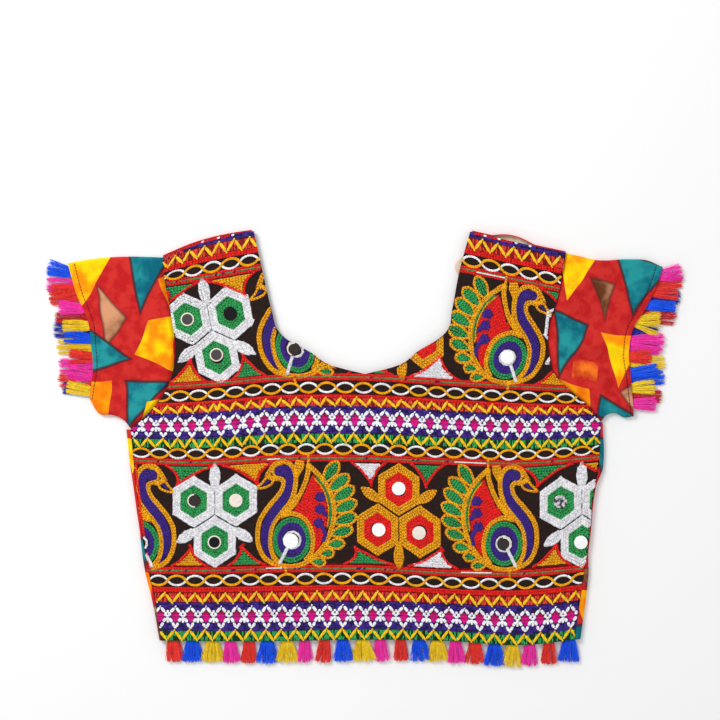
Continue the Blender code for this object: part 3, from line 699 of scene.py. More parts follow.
def print_material(name, shards):
    """Return red batik cotton, printed with shards."""
    material = plain_material(name, srgb(200, 44, 44), 0.8)
    tree = material.node_tree
    coordinates = add_node(tree, "TexCoord").outputs["Object"]
    fills = print_fills(tree, coordinates)
    flat = add_vector_math(tree, "MULTIPLY", coordinates, (1.0 / MM, 1.0 / MM, 0.0))
    bend = add_noise(tree, coordinates, 22.0, 1.5, "Color")
    wobble = add_vector_math(tree, "MULTIPLY_ADD", bend, (9.0, 9.0, 0.0), (-4.5, -4.5, 1.0))
    place = add_vector_math(tree, "ADD", flat, wobble)
    colour = fills["red"]
    for dye, *corners in shards:
        sides = edge_vectors(corners)
        sides = sides + sides[-1:] * (len(SHARD_EDGES) - len(sides))
        inputs = {"Place": place, **dict(zip(SHARD_EDGES, sides)), "Below": colour,
                  "Fill": fills[dye], "Outline": OUTLINED.get(dye, 0.0)}
        colour = add_node(tree, "Group", inputs, node_tree=SHARD_GROUP).outputs["Colour"]
    cotton_fibres(material, coordinates, colour)
    return material


LEFT_PRINT = print_material("sleeve_left_print", LEFT_SLEEVE_SHARDS)
RIGHT_PRINT = print_material("sleeve_right_print", RIGHT_SLEEVE_SHARDS)
BACK_PRINT = print_material("back_print", BACK_SHARDS)


def lining_material():
    """Return the plain beige cotton inside the back."""
    material = plain_material("lining_cotton", srgb(236, 212, 182), 0.9)
    tree = material.node_tree
    coordinates = add_node(tree, "TexCoord").outputs["Object"]
    cloud = add_noise(tree, coordinates, 90.0, 3.0)
    cotton_fibres(material, coordinates, add_tint(tree, cloud, srgb(226, 198, 166), srgb(242, 222, 196)))
    return material


LINING = lining_material()
print("shards printed:", len(LEFT_SLEEVE_SHARDS) + len(RIGHT_SLEEVE_SHARDS) + len(BACK_SHARDS))

# %% [markdown]
# ## The back panel
#
# The back lies flat on the table and a little of it shows: it curls up round
# the sides beside the front, and behind the shoulders.  It is a grid for the
# flat part, a curled strip for each side, and a turned-up strip along each
# shoulder.  Its outer side is printed and its inner side is plain lining.

# %% Back cloth
BACK_COLUMNS = 36
BACK_THICK = 1.0
BACK_NECK_DROP = 2.0
SEAM_GAP = 0.45
SIDE_FLAT = 3.2
SHOULDER_FLAT = 2.0
LINING_PEEK = 4.5
LINING_PEEK_FROM = 120.0
LINING_PEEK_TO = 160.0
NECK_PEEK = 7.0
NECK_PEEK_HEIGHT = 352.0
NECK_PEEK_REACH = 8.0
BACK_WALL = 1.3
LEFT_WRAP = ((0, 2.4), (25, 2.8), (62, 4.2), (104, 2.4), (146, 3.2),
             (172, 4.6), (205, 4.8))
RIGHT_WRAP = ((0, 6.4), (42, 6), (62, 5), (82, 1.2), (146, 1.2),
              (160, 5), (178, 4.6), (212, 2.4))
WRAP_STEPS = 8
# Down a curled side: how far round each place is, and its share of the full height.
WRAP_SHARES = (0, 0.18, 0.48, 0.80, 1)
WRAP_LEVELS = (1, 0.90, 0.5, 0.14, 0)
# Up a turned shoulder: how far out each row stands, and its share of the full height.
SHOULDER_TURN = ((-0.4, 0.06), (0, 0.5), (-0.4, 1))


def wrap_places(edge, width, top, side, share):
    """Return x and z of the back's side as it curls up, share 0 at the top."""
    outside = edge + side * width
    seam = edge + side * SEAM_GAP
    flat = edge - side * SIDE_FLAT
    xs = np.stack([seam, seam + 0.62 * (outside - seam), outside,
                   outside + 0.22 * (flat - outside), flat])
    x, z = (np.array([float(smooth_curve(WRAP_SHARES, line)(place)) for line, place in zip(lines.T, share)])
            for lines in (xs, np.outer(WRAP_LEVELS, top)))
    return x, np.maximum(z, 0.0)


def lining_peek(x):
    """Return how far the back's shoulder stands past the front's."""
    share = np.clip((x - LINING_PEEK_FROM) / (LINING_PEEK_TO - LINING_PEEK_FROM), 0.0, 1.0)
    return LINING_PEEK * np.sin(np.pi * share)


def back_y(x, height, row, column, last_row):
    """Return y on the back, whose neck lies a little below the front's."""
    at_neck = (row == last_row) & (column == BACK_COLUMNS)
    return plan_y(x, height - np.where(at_neck, BACK_NECK_DROP, 0.0))


def back_body():
    """Build the flat part of the back, up to the neck."""
    grid, column, row = add_grid(2 * BACK_COLUMNS, len(BODY_HEIGHTS) - 1)
    height = BODY_HEIGHTS[row]
    x = body_x(height, column, BACK_COLUMNS)
    for side, underarm in ((-1, UNDERARM_LEFT), (1, UNDERARM_RIGHT)):
        share = np.clip(side * (column / BACK_COLUMNS - 1.0), 0.0, 1.0)
        x = x - side * share * np.where(height <= underarm, SIDE_FLAT, 0.0)
    y = back_y(x, height, row, column, row.max())
    set_places(grid, np.stack([x, y, np.zeros(len(x))], axis=-1))
    return grid


def back_strap(outer, inner, drop):
    """Build one strap of the back with its turned-up shoulder."""
    grid, column, row = add_grid(BACK_COLUMNS, STRAP_STEPS + len(SHOULDER_TURN))
    height = STRAP_HEIGHTS[np.minimum(row, STRAP_STEPS)]
    peek = NECK_PEEK * np.exp(-((height - NECK_PEEK_HEIGHT) / NECK_PEEK_REACH)**2) * (drop > 0.0)
    inner_x = np.where(height > NECK_POINT_HEIGHT, inner(height) + drop - peek, NECK_POINT_X)
    x = outer(height) + (inner_x - outer(height)) * column / BACK_COLUMNS
    y = back_y(x, height, row, column, 0)
    z = np.zeros(len(x))
    y[row == STRAP_STEPS] -= SHOULDER_FLAT
    top = front_top(x, np.full(len(x), FRONT_HEIGHT))
    for step, (beyond, level) in enumerate(SHOULDER_TURN, 1):
        here = row == STRAP_STEPS + step
        y[here] += (SEAM_GAP + BACK_WALL + beyond + lining_peek(x))[here]
        z[here] = (level * top)[here]
    set_places(grid, np.stack([x, y, z], axis=-1))
    return grid


def back_side(side, edge, table, last):
    """Build a strip that curls up round one side, up to the underarm."""
    rows = int(np.argmin(np.abs(BODY_HEIGHTS - last)))
    grid, column, row = add_grid(WRAP_STEPS, rows)
    height = BODY_HEIGHTS[row]
    seam = edge(height)
    width = np.interp(height, *zip(*table))
    x, z = wrap_places(seam, width, front_top(seam, height), side, column / WRAP_STEPS)
    flat_x = seam - side * SIDE_FLAT
    y = np.where(column == WRAP_STEPS, plan_y(flat_x, height), plan_y(seam, height))
    set_places(grid, np.stack([x, y, z], axis=-1))
    return grid


def build_back():
    """Build the back panel's cloth."""
    parts = [back_body(),
             back_strap(left_edge, left_neck, -BACK_NECK_DROP),
             back_strap(right_edge, right_neck, BACK_NECK_DROP),
             back_side(-1, left_edge, LEFT_WRAP, UNDERARM_LEFT),
             back_side(1, right_edge, RIGHT_WRAP, UNDERARM_RIGHT)]
    cloth = join_pieces("back_cloth", parts)
    face_up(cloth, up=False)
    thicken(cloth, BACK_THICK, [BACK_PRINT, LINING], inner_slot=1)
    return cloth


back_cloth = build_back()
print("back cloth:", triangles(back_cloth), "triangles")

# %% [markdown]
# ## The sleeves
#
# Each sleeve is a short flattened tube, open at the armhole and at the cuff.
# A grid is rolled up along rings, which run over the top, round the fold and
# back underneath.  Soft swells give the creases that show.

# %% Outlines and creases of the sleeves
LEFT_SLEEVE_SWELLS = (
    (-225, 150, 34, 16, 40, 1.2),
    (-240, 95, 34, 15, -15, 1),
    (-215, 70, 30, 7, 30, -1.9),
    (-262, 150, 24, 10, 70, -0.7),
    (-200, 120, 24, 6, 80, 1.7),
    (-236, 44, 16, 4, -40, 1.4),
)
RIGHT_SLEEVE_SWELLS = (
    (200, 150, 34, 9, 46, 2.9),
    (228, 132, 36, 9, 40, -1.7),
    (215, 86, 34, 5, 4, -2.3),
    (215, 97, 34, 6, 2, 2.2),
    (236, 106, 18, 4, -24, -2),
    (222, 62, 34, 5, -22, -1.6),
    (232, 73, 26, 7, -20, 1.9),
    (225, 48, 20, 5, -30, 1.6),
    (262, 150, 18, 6, 60, 1.2),
)
LEFT_SLEEVE_TOP = ((-193.4, 183), (-214.7, 183.8), (-243.2, 183.3), (-265, 181), (-283.5, 177.5))
LEFT_CUFF = ((-283.5, 177.5), (-274.6, 147.2), (-264.1, 122.5), (-261.2, 99.8),
             (-259.3, 79), (-261.2, 60.8), (-262.5, 47.5))
LEFT_SLEEVE_UNDER = ((-223.7, 19.7), (-230, 28), (-240.3, 33), (-253, 34), (-262.5, 47.5))
RIGHT_SLEEVE_TOP = ((190.5, 187), (203.3, 184.3), (217.5, 180.8), (250.8, 181.4),
                    (267, 180.4), (282.1, 174))
RIGHT_CUFF = ((282.1, 174), (276.4, 156.8), (265.1, 133.9), (253.6, 114.9),
              (249.8, 94), (251.8, 66.5), (254.5, 32))
RIGHT_SLEEVE_UNDER = ((223.4, 26.6), (229.5, 33.5), (237, 35), (245, 31), (254.5, 32))
SLEEVE_TOP = 5.3
FOLD_RADIUS = 3.0
SLEEVE_THICK = 0.9
SLEEVE_STEPS = 64
EDGE_POINTS = 60


def line_lengths(points):
    """Return how far along a line each of its points lies."""
    steps = np.linalg.norm(np.diff(points, axis=0), axis=1)
    return np.concatenate(([0.0], np.cumsum(steps)))


def at_lengths(points, lengths, wanted):
    """Return the places at the wanted lengths along a line."""
    return np.column_stack([np.interp(wanted, lengths, part) for part in np.asarray(points).T])


def along(points, shares):
    """Return places at shares of a line's length."""
    lengths = line_lengths(points)
    return at_lengths(points, lengths, np.asarray(shares) * lengths[-1])


def smooth_line(table):
    """Return a smooth line of points through a short outline."""
    table = np.asarray(table, float)
    lengths = line_lengths(table)
    places = np.linspace(0.0, lengths[-1], EDGE_POINTS)
    return np.column_stack([smooth_curve(lengths, part)(places) for part in table.T])


class SleeveShape:
    """The plan and the upper surface of one sleeve."""

    def __init__(self, side, armhole, underarm, top, cuff, under, swells):
        heights = np.linspace(FRONT_HEIGHT, underarm, EDGE_POINTS)
        seam_x = armhole(heights)
        seam = np.column_stack([seam_x + side * SEAM_GAP, plan_y(seam_x, heights)])
        seam[0] = top[0]
        seam[-1] = under[0]
        self.side = side
        self.seam = seam
        self.seam_lengths = line_lengths(seam)
        self.seam_tops = front_top(seam_x, heights)
        self.cuff = smooth_line(cuff)
        self.top = smooth_line(top)
        self.under = smooth_line(under)
        self.swells = swells

    def plan(self, u, shares):
        """Return the plan of a ring, u from the armhole to the cuff."""
        seam = along(self.seam, shares)
        cuff = along(self.cuff, shares)
        top = along(self.top, [u])[0]
        under = along(self.under, [u])[0]
        shares = np.asarray(shares)[:, None]
        corners = (1 - u) * ((1 - shares) * seam[0] + shares * seam[-1])
        corners = corners + u * ((1 - shares) * cuff[0] + shares * cuff[-1])
        return (1 - u) * seam + u * cuff + (1 - shares) * top + shares * under - corners

    def tops(self, u, shares, places):
        """Return the z of the upper surface along a ring."""
        at_seam = np.interp(np.asarray(shares) * self.seam_lengths[-1],
                            self.seam_lengths, self.seam_tops)
        level = (1 - u) * at_seam + u * SLEEVE_TOP
        fade = 1.0 - (2.0 * u - 1.0)**4
        return level + fade * swell_lift(places[:, 0], places[:, 1], self.swells)


LEFT_SLEEVE = SleeveShape(-1, left_armhole, UNDERARM_LEFT, LEFT_SLEEVE_TOP, LEFT_CUFF,
                          LEFT_SLEEVE_UNDER, LEFT_SLEEVE_SWELLS)
RIGHT_SLEEVE = SleeveShape(1, right_armhole, UNDERARM_RIGHT, RIGHT_SLEEVE_TOP, RIGHT_CUFF,
                           RIGHT_SLEEVE_UNDER, RIGHT_SLEEVE_SWELLS)
print("armhole seam lengths:", [round(s.seam_lengths[-1]) for s in (LEFT_SLEEVE, RIGHT_SLEEVE)])

# %% Sleeve cloth
HEM_LINE = 5.0
HEM_GROOVE = 0.45
GROOVE_WIDTH = 0.8
TUCK = 1.6
TUCK_REACH = 1.2
TUCK_DROP = 2.6
DROP_REACH = 2.2
SLEEVE_REACH = 75.0
# Rings from the armhole to the cuff: start, end and step, finer at both ends.
RING_STEPS = ((0, 7, 0.9), (7, 66, 2.6), (66, 75.01, 0.75))
SLEEVE_RINGS = np.concatenate([np.arange(*steps) for steps in RING_STEPS]) / SLEEVE_REACH


def ring_places(shape, u):
    """Return one ring: over the top, then back underneath."""
    shares = 0.5 - 0.5 * np.cos(np.pi * np.linspace(0.0, 1.0, SLEEVE_STEPS + 1))
    places = shape.plan(u, shares)
    lengths = line_lengths(places)
    reach = u * SLEEVE_REACH
    tops = shape.tops(u, shares, places)
    tops = tops - TUCK_DROP * np.exp(-(reach / DROP_REACH)**2)
    tops = tops - HEM_GROOVE * np.exp(-((SLEEVE_REACH - reach - HEM_LINE) / GROOVE_WIDTH)**2)
    opened = np.minimum(np.minimum(lengths, lengths[-1] - lengths) / FOLD_RADIUS, 1.0)
    opened = np.sqrt(1.0 - (1.0 - opened)**2)
    places = places - np.array([[shape.side * TUCK * math.exp(-reach / TUCK_REACH), 0.0]])
    upper = np.column_stack([places, 0.5 * tops * (1.0 + opened)])
    lower = np.column_stack([places, 0.5 * tops * (1.0 - opened)])
    return np.concatenate((upper, lower[-2::-1]))


def build_sleeve(name, shape, material):
    """Build a sleeve as a flattened tube of cloth."""
    rings = np.array([ring_places(shape, u) for u in SLEEVE_RINGS])
    grid, column, row = add_grid(2 * SLEEVE_STEPS, len(SLEEVE_RINGS) - 1)
    set_places(grid, rings[row, column])
    cloth = join_pieces(name, [grid], merge=0.001)
    highest = max(cloth.data.polygons, key=lambda face: face.center.z)
    if highest.normal.z < 0.0:
        cloth.data.flip_normals()
    thicken(cloth, SLEEVE_THICK, [material])
    return cloth


sleeve_left_cloth = build_sleeve("sleeve_left_cloth", LEFT_SLEEVE, LEFT_PRINT)
sleeve_right_cloth = build_sleeve("sleeve_right_cloth", RIGHT_SLEEVE, RIGHT_PRINT)
print("sleeves:", triangles(sleeve_left_cloth), "and", triangles(sleeve_right_cloth), "triangles")

# %% [markdown]
# ## Thread
#
# All the needlework is mercerised cotton: smooth, with a soft shine, and
# never quite one colour.  Each stitch carries a small UV map that runs along
# and round its thread, so that the twist can be drawn as fine slanted lines.

# %% Thread materials


def thread_material(name, colour, roughness=0.55, shine=0.0, depth=0.72):
    """Return twisted thread of one colour, lighter and darker in places."""
    material = plain_material(name, colour, roughness, 0.2)
    tree = material.node_tree
    cloud = add_noise(tree, add_node(tree, "TexCoord").outputs["Object"], 420.0)
    dark = tuple(depth * part for part in colour)
    light = tuple(min(1.15 * part, 1.0) for part in colour)
    set_shader(material, {"Base Color": add_tint(tree, cloud, dark, light), "Sheen Weight": shine})
    uv = add_node(tree, "UVMap", uv_map="UVMap").outputs["UV"]
    twist = add_node(tree, "TexWave", {"Vector": uv, "Scale": 1.6}, bands_direction="DIAGONAL")
    add_bump(material, twist.outputs["Fac"], 0.3, 0.0002)
    return material


TASSEL_COLOURS = linear_colours({
    "red": (238, 62, 54), "blue": (28, 96, 245), "yellow": (255, 214, 48), "pink": (255, 60, 182),
    "violet": (50, 48, 170), "crimson": (206, 40, 46),
})
TASSEL_THREAD = [thread_material("tassel_" + name, colour, 0.6, 0.05, 0.9)
                 for name, colour in TASSEL_COLOURS.items()]
TASSEL_SLOT = {name: number for number, name in enumerate(TASSEL_COLOURS)}
print("tassel colours:", ", ".join(TASSEL_COLOURS))

# %% [markdown]
# ## Tassels
#
# Short tassels hang from the hem and the cuffs, one row behind the other.
# A tassel is a bunch of cut threads that leave a narrow root and spread.
# One three-sided thread is modelled with Blender's tools.  Each copy then
# follows its own gentle curve, and all the copies of a row form one mesh.

# %% One thread and its copies
THREAD_SEGMENTS = 3
THREAD_CORNER = math.radians(60)


def template_arrays(piece):
    """Return a mesh's points, faces and UVs, then remove it."""
    mesh = piece.data
    points = np.array([vertex.co for vertex in mesh.vertices], float)
    faces = [tuple(face.vertices) for face in mesh.polygons]
    uv = np.array([corner.uv for corner in mesh.uv_layers[0].data], float)
    bpy.data.objects.remove(piece, do_unlink=True)
    return points, faces, uv


def select_points(piece, test):
    """Select the points whose place passes a test."""
    bpy.ops.object.mode_set(mode="EDIT")
    bpy.ops.mesh.select_all(action="DESELECT")
    leave_edit()
    for vertex in piece.data.vertices:
        vertex.select = test(vertex.co)
    bpy.ops.object.mode_set(mode="EDIT")


def add_rod(sides, radius, middle):
    """Add a rod 1 long that lies along x, and enter edit mode."""
    deselect_all()
    bpy.ops.mesh.primitive_cylinder_add(vertices=sides, radius=radius, depth=1.0,
                                        location=(middle, 0.0, 0.0), rotation=(0.0, math.pi / 2.0, 0.0))
    bpy.ops.object.transform_apply(location=True, rotation=True, scale=True)
    edit_all()
    return bpy.context.object


def cut_across(x):
    """Cut the rod that is being edited straight across at x."""
    bpy.ops.mesh.select_all(action="SELECT")
    bpy.ops.mesh.bisect(plane_co=(x, 0.0, 0.0), plane_no=(1.0, 0.0, 0.0))


def model_thread():
    """Model a three-sided thread from x = 0 to x = 1, with a radius of 1."""
    thread = add_rod(3, 1.0, 0.5)
    for cut in range(1, THREAD_SEGMENTS):
        cut_across(cut / THREAD_SEGMENTS)
    leave_edit()
    return template_arrays(thread)


THREAD_POINTS, THREAD_FACES, THREAD_UV = model_thread()


def joined_batches(name, batches, materials):
    """Make one smooth mesh from batches of copies of a template."""
    points, corners, sizes, slots, uvs = [], [], [], [], []
    start = 0
    for placed, faces, uv, batch_slots in batches:
        copies = len(batch_slots)
        shifts = start + len(placed) // copies * np.arange(copies)
        face_sizes = [len(face) for face in faces]
        points.append(placed)
        corners.append((np.concatenate(faces)[None, :] + shifts[:, None]).ravel())
        sizes.append(np.tile(face_sizes, copies))
        slots.append(np.repeat(batch_slots, len(face_sizes)))
        uvs.append(np.tile(uv.ravel(), copies))
        start += len(placed)
    points, corners, sizes = np.concatenate(points), np.concatenate(corners), np.concatenate(sizes)
    starts = np.concatenate(([0], np.cumsum(sizes)[:-1]))
    mesh = bpy.data.meshes.new(name)
    mesh.vertices.add(len(points))
    mesh.vertices.foreach_set("co", (points * MM).astype(np.float32).ravel())
    mesh.loops.add(len(corners))
    mesh.loops.foreach_set("vertex_index", corners.astype(np.int32))
    mesh.polygons.add(len(sizes))
    mesh.polygons.foreach_set("loop_start", starts.astype(np.int32))
    mesh.polygons.foreach_set("material_index", np.concatenate(slots).astype(np.int32))
    mesh.uv_layers.new(name="UVMap")
    mesh.uv_layers[0].data.foreach_set("uv", np.concatenate(uvs).astype(np.float32))
    mesh.update(calc_edges=True)
    for material in materials:
        mesh.materials.append(material)
    mesh.shade_smooth()
    mesh.set_sharp_from_angle(angle=THREAD_CORNER)
    piece = bpy.data.objects.new(name, mesh)
    bpy.context.collection.objects.link(piece)
    return piece


print("one thread has", len(THREAD_FACES), "faces")

# %% Rows of tassels
Layer = namedtuple("Layer", "threads root_z tip_z")
UPPER, LOWER = Layer(100, 3.3, 2.4), Layer(60, 2.1, 0.8)
TASSEL_ROOT = 4.3
ROOT_INSIDE = 1.5
STRANDS = 3
THREAD_RADIUS = 0.24
HEM_COUNT = 22
HEM_FIRST, HEM_PITCH = -183.0, 17.9
HEM_LENGTH = 21.0
HEM_SPREADS = {"red": 7.6, "blue": 11, "yellow": 11.4, "pink": 7.8}


def hem_tassels(seed):
    """Return the tassels along the hem, red, blue, yellow and pink in turn."""
    random = np.random.default_rng(seed)
    rows = []
    for number in range(HEM_COUNT):
        colour = list(HEM_SPREADS)[number % len(HEM_SPREADS)]
        rows.append((HEM_FIRST + HEM_PITCH * number + random.uniform(-1.2, 1.2),
                     HEM_LENGTH + random.uniform(-1.2, 1.2), random.uniform(-9.0, 9.0),
                     colour, HEM_SPREADS[colour] * random.uniform(0.85, 1.15)))
    return rows


def tassel_threads(root, way, length, spread, layer, random):
    """Return the points of a tassel's threads."""
    threads = layer.threads
    across = np.array([-way[1], way[0]])
    start = random.uniform(-1.0, 1.0, threads)
    level = random.uniform(0.0, 1.0, threads)
    strand = np.clip(((start + 1.0) * 0.5 * STRANDS).astype(int), 0, STRANDS - 1)
    aim = (strand + 0.5) / STRANDS * 2.0 - 1.0 + random.normal(0.0, 0.14, STRANDS)[strand]
    fan = spread * (aim + 0.62 * (start - aim) + random.normal(0.0, 0.09, threads))
    reach = length * (1.0 - 0.06 * start**2) * random.uniform(0.9, 1.02, threads)
    round_up = np.sqrt(np.clip(1.0 - start**2, 0.0, 1.0))
    bow = random.normal(0.0, 0.6, threads)
    t = THREAD_POINTS[None, :, 0]
    side = TASSEL_ROOT * start[:, None] * (1 - t) + fan[:, None] * t
    side = side + bow[:, None] * np.sin(np.pi * t)
    out = reach[:, None] * t - ROOT_INSIDE * (1 - t)
    low = layer.root_z + (layer.tip_z - layer.root_z) * t
    z = low + (level * round_up)[:, None] * (0.4 + 1.6 * np.sin(np.pi * np.clip(t * 0.75, 0, 1)))
    plan = root + out[..., None] * way + side[..., None] * across
    plan = plan + THREAD_RADIUS * THREAD_POINTS[None, :, 1, None] * across
    z = z + THREAD_RADIUS * THREAD_POINTS[None, :, 2]
    return np.concatenate([plan, z[..., None]], axis=-1).reshape(-1, 3)


def build_fringe(name, line, tassels, layer, seed):
    """Build a row of tassels; line gives each root and its way."""
    random = np.random.default_rng(seed)
    points, slots = [], []
    for place, length, degrees, colour, spread in tassels:
        root, way = line(place)
        turn = math.radians(degrees)
        way = np.array([way[0] * math.cos(turn) - way[1] * math.sin(turn),
                        way[0] * math.sin(turn) + way[1] * math.cos(turn)])
        points.append(tassel_threads(root, way, length, spread, layer, random))
        slots += [TASSEL_SLOT[colour]] * layer.threads
    batch = (np.concatenate(points), THREAD_FACES, THREAD_UV, slots)
    return joined_batches(name, [batch], TASSEL_THREAD)


def hem_line(place):
    """Return a root on the hem edge and the way down from it."""
    return np.array([place, float(plan_y(place, 0.0))]), np.array([0.0, -1.0])


def cuff_line(shape):
    """Return a function for a root on the cuff and the way out from it."""
    xs, ys = shape.cuff[::-1].T
    return lambda place: (np.array([np.interp(place, ys, xs), place]), np.array([float(shape.side), 0.0]))


# Each tassel: its place, length, turn in degrees, colour and spread.
LEFT_UPPER = (
    (168.5, 23, -14, "blue", 8), (152, 24, 6, "red", 8.5),
    (134.5, 24, -3, "pink", 7), (118, 26, 2, "yellow", 6.4),
    (105.5, 26, -9, "blue", 8), (88, 23, -2, "red", 7.5),
    (71, 25, -6, "pink", 8), (55.5, 24, -12, "yellow", 7),
)
LEFT_LOWER = (
    (158, 27, 2, "pink", 7), (146, 28, 4, "red", 7),
    (127, 31, 3, "crimson", 7), (113, 36, -2, "violet", 9),
    (97.5, 34, 0, "yellow", 7.5), (82, 34, 4, "pink", 7),
    (66, 33, 0, "red", 7), (57, 28, -4, "violet", 6.5),
)
RIGHT_UPPER = (
    (165.5, 22, 9, "pink", 8), (150, 24, 0, "red", 8),
    (137.5, 28, -2, "blue", 6), (121, 24, -4, "yellow", 14),
    (104, 33, -4, "pink", 10), (88, 22, 0, "red", 8),
    (72.5, 27, 8, "blue", 7), (58.5, 23, 3, "yellow", 8),
    (44, 23, 0, "pink", 8),
)
RIGHT_LOWER = (
    (160, 25, 2, "red", 7), (146.5, 28, -2, "violet", 7),
    (127.5, 35, -2, "crimson", 9), (112.5, 26, -4, "violet", 7),
    (97, 31, 0, "pink", 7), (83, 35, 0, "yellow", 7),
    (67, 33, 3, "blue", 7.5), (50.5, 29, 0, "crimson", 8),
)
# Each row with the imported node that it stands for.
FRINGE_ROWS = (
    ("hem_tassels_front", "hem_fringe_front", hem_line, hem_tassels(3), UPPER),
    ("hem_tassels_back", "hem_fringe_back", hem_line, hem_tassels(4), LOWER),
    ("cuff_left_tassels_upper", "sleeve_left_fringe_upper", cuff_line(LEFT_SLEEVE), LEFT_UPPER, UPPER),
    ("cuff_left_tassels_lower", "sleeve_left_fringe_lower", cuff_line(LEFT_SLEEVE), LEFT_LOWER, LOWER),
    ("cuff_right_tassels_upper", "sleeve_right_fringe_upper", cuff_line(RIGHT_SLEEVE), RIGHT_UPPER, UPPER),
    ("cuff_right_tassels_lower", "sleeve_right_fringe_lower", cuff_line(RIGHT_SLEEVE), RIGHT_LOWER, LOWER),
)
FIRST_SEED = 11
fringes = {node: build_fringe(name, line, tassels, layer, seed)
           for seed, (name, node, line, tassels, layer) in enumerate(FRINGE_ROWS, FIRST_SEED)}
print("tassels:", triangles(*fringes.values()), "triangles")

# %% [markdown]
# ## Mirrors
#
# Small round mirrors sit in the middle of the flowers and the peacocks.
# Each is thin silvered glass.  What it would reflect is painted into its
# colour as a painted reflection: dark for a dark room, white for the light.
# One disc is modelled, with a softened rim and a slightly domed face, and
# copied to each place.

# %% Mirrors
MIRROR_RADIUS = 6.4
MIRROR_THICK = 1.0
MIRROR_LIFT = 0.35
MIRROR_RIM = 0.95
ALL_ROUND = (0, 360)
# For some dark mirrors, a painted highlight on the edge of the glass runs between two angles.
MirrorPlace = namedtuple("MirrorPlace", "x height tone lit size", defaults=(None, 1.0))
MIRRORS = [MirrorPlace(*row) for row in (
    (-169.6, 312, "grey", ALL_ROUND),
    (-128.7, 311.5, "black"),
    (-142, 275.5, "grey", ALL_ROUND),
    (-68.6, 273.6, "dark", (80, 250)),
    (134.2, 275.5, "white"),
    (-163.2, 135, "dark", (90, 280)),
    (-123.6, 134, "beige"),
    (-143.9, 94.5, "black", ALL_ROUND),
    (-71.5, 93.5, "white", None, 1.12),
    (31, 144.5, "white"),
    (12, 104.5, "white"),
    (50.3, 103.5, "beige"),
    (131, 95.6, "dark", (-70, 100)),
    (184.3, 133, "silver"),
    (204, 92, "white"),
)]
# Each tone is the mirror's painted reflection: dark for shade, white and beige for light.
PAINTED_MIRROR_REFLECTIONS = linear_colours({
    "grey": (92, 84, 86), "black": (28, 26, 30), "dark": (62, 54, 54), "white": (255, 255, 255),
    "beige": (240, 230, 216), "silver": (226, 224, 228),
})


def mirror_material(tone, colour):
    """Return mirror glass whose colour is its painted reflection, mottled by a cloud and rippled."""
    material = plain_material("mirror_" + tone, colour, 0.16, 0.6)
    tree = material.node_tree
    cloud = add_noise(tree, add_node(tree, "TexCoord").outputs["Object"], 300.0, 3.0)
    low, high, depth = (0.44, 0.56, 0.08) if tone == "silver" else (0.3, 0.7, 0.88)
    shade = add_tint(tree, cloud, tuple(depth * part for part in colour), colour, low, high)
    # White and beige mirrors are plain painted reflections, with no metal.
    set_shader(material, {"Metallic": 0.0 if tone in ("white", "beige") else 0.75, "Base Color": shade})
    add_bump(material, cloud, 0.25, 0.0004)
    return material


MIRROR_GLASS = {tone: mirror_material(tone, colour) for tone, colour in PAINTED_MIRROR_REFLECTIONS.items()}


def model_mirror():
    """Model one mirror with a softened rim and a domed face."""
    deselect_all()
    bpy.ops.mesh.primitive_cylinder_add(vertices=36, radius=MIRROR_RADIUS, depth=MIRROR_THICK,
                                        location=(0.0, 0.0, 0.5 * MIRROR_THICK))
    bpy.ops.object.transform_apply(location=True, rotation=False, scale=False)
    disc = bpy.context.object
    select_points(disc, lambda place: place.z > 0.9 * MIRROR_THICK)
    bpy.ops.mesh.bevel(offset=0.22, offset_type="OFFSET", segments=2, affect="EDGES")
    select_points(disc, lambda place: place.z > 0.99 * MIRROR_THICK)
    bpy.ops.mesh.inset(thickness=MIRROR_RIM)
    bpy.ops.mesh.inset(thickness=1.6)
    bpy.ops.transform.translate(value=(0.0, 0.0, 0.12))
    leave_edit()
    return template_arrays(disc)


MIRROR_POINTS, MIRROR_FACES, MIRROR_UV = model_mirror()


def mirror_level(place):
    """Return the z on which a mirror lies."""
    reach = np.array([-MIRROR_RADIUS, 0.0, MIRROR_RADIUS])
    xs, heights = np.meshgrid(place.x + reach, place.height + reach)
    return float(front_top(xs, heights).max()) + MIRROR_LIFT


def painted_rim_highlight(piece, x, y, start, end):
    """Paint a highlight on a dark mirror's edge from one angle to another."""
    piece.data.materials.append(MIRROR_GLASS["beige"])
    for face in piece.data.polygons:
        across, up = face.center.x / MM - x, face.center.y / MM - y
        angle = (math.degrees(math.atan2(up, across)) - start) % 360.0
        if math.hypot(across, up) > MIRROR_RADIUS - MIRROR_RIM and angle < end - start:
            face.material_index = 1


def build_mirror(number, place):
    """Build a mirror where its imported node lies."""
    x, y = place.x, float(plan_y(place.x, place.height))
    points = MIRROR_POINTS * np.array([place.size, place.size, 1.0]) + np.array([x, y, mirror_level(place)])
    piece = joined_batches("mirror_glass_%02d" % number, [(points, MIRROR_FACES, MIRROR_UV, [0])],
                           [MIRROR_GLASS[place.tone]])
    # Dark mirrors with a painted highlight arc get it on their rim.
    if place.lit:
        painted_rim_highlight(piece, x, y, *place.lit)
    return piece


mirrors = [build_mirror(number, place) for number, place in enumerate(MIRRORS, 1)]
print("mirrors:", len(mirrors), "of", triangles(mirrors[0]), "triangles")

# %% [markdown]
# ## Stitches
#
# The front is worked almost wholly in chain stitch: small loops that hold
# each other in a row.  One loop is modelled as a flattened ring with a
# narrow end.  A straight stitch is a short plump bar, and the threads that
# fill a band are thin bars.  Every copy is bent to the cloth at its place.

# %% Model one loop, one bar and one thread
LINK_LENGTH = 4.2
LINK_WIDTH = 2.8
LINK_THICK = 1.0
LINK_PITCH = 2.85
BAR_THICK = 1.1
FINE_THICK = 0.7
TIP_UP = 0.5 * math.pi
ORIGIN = (0, 0, 0)
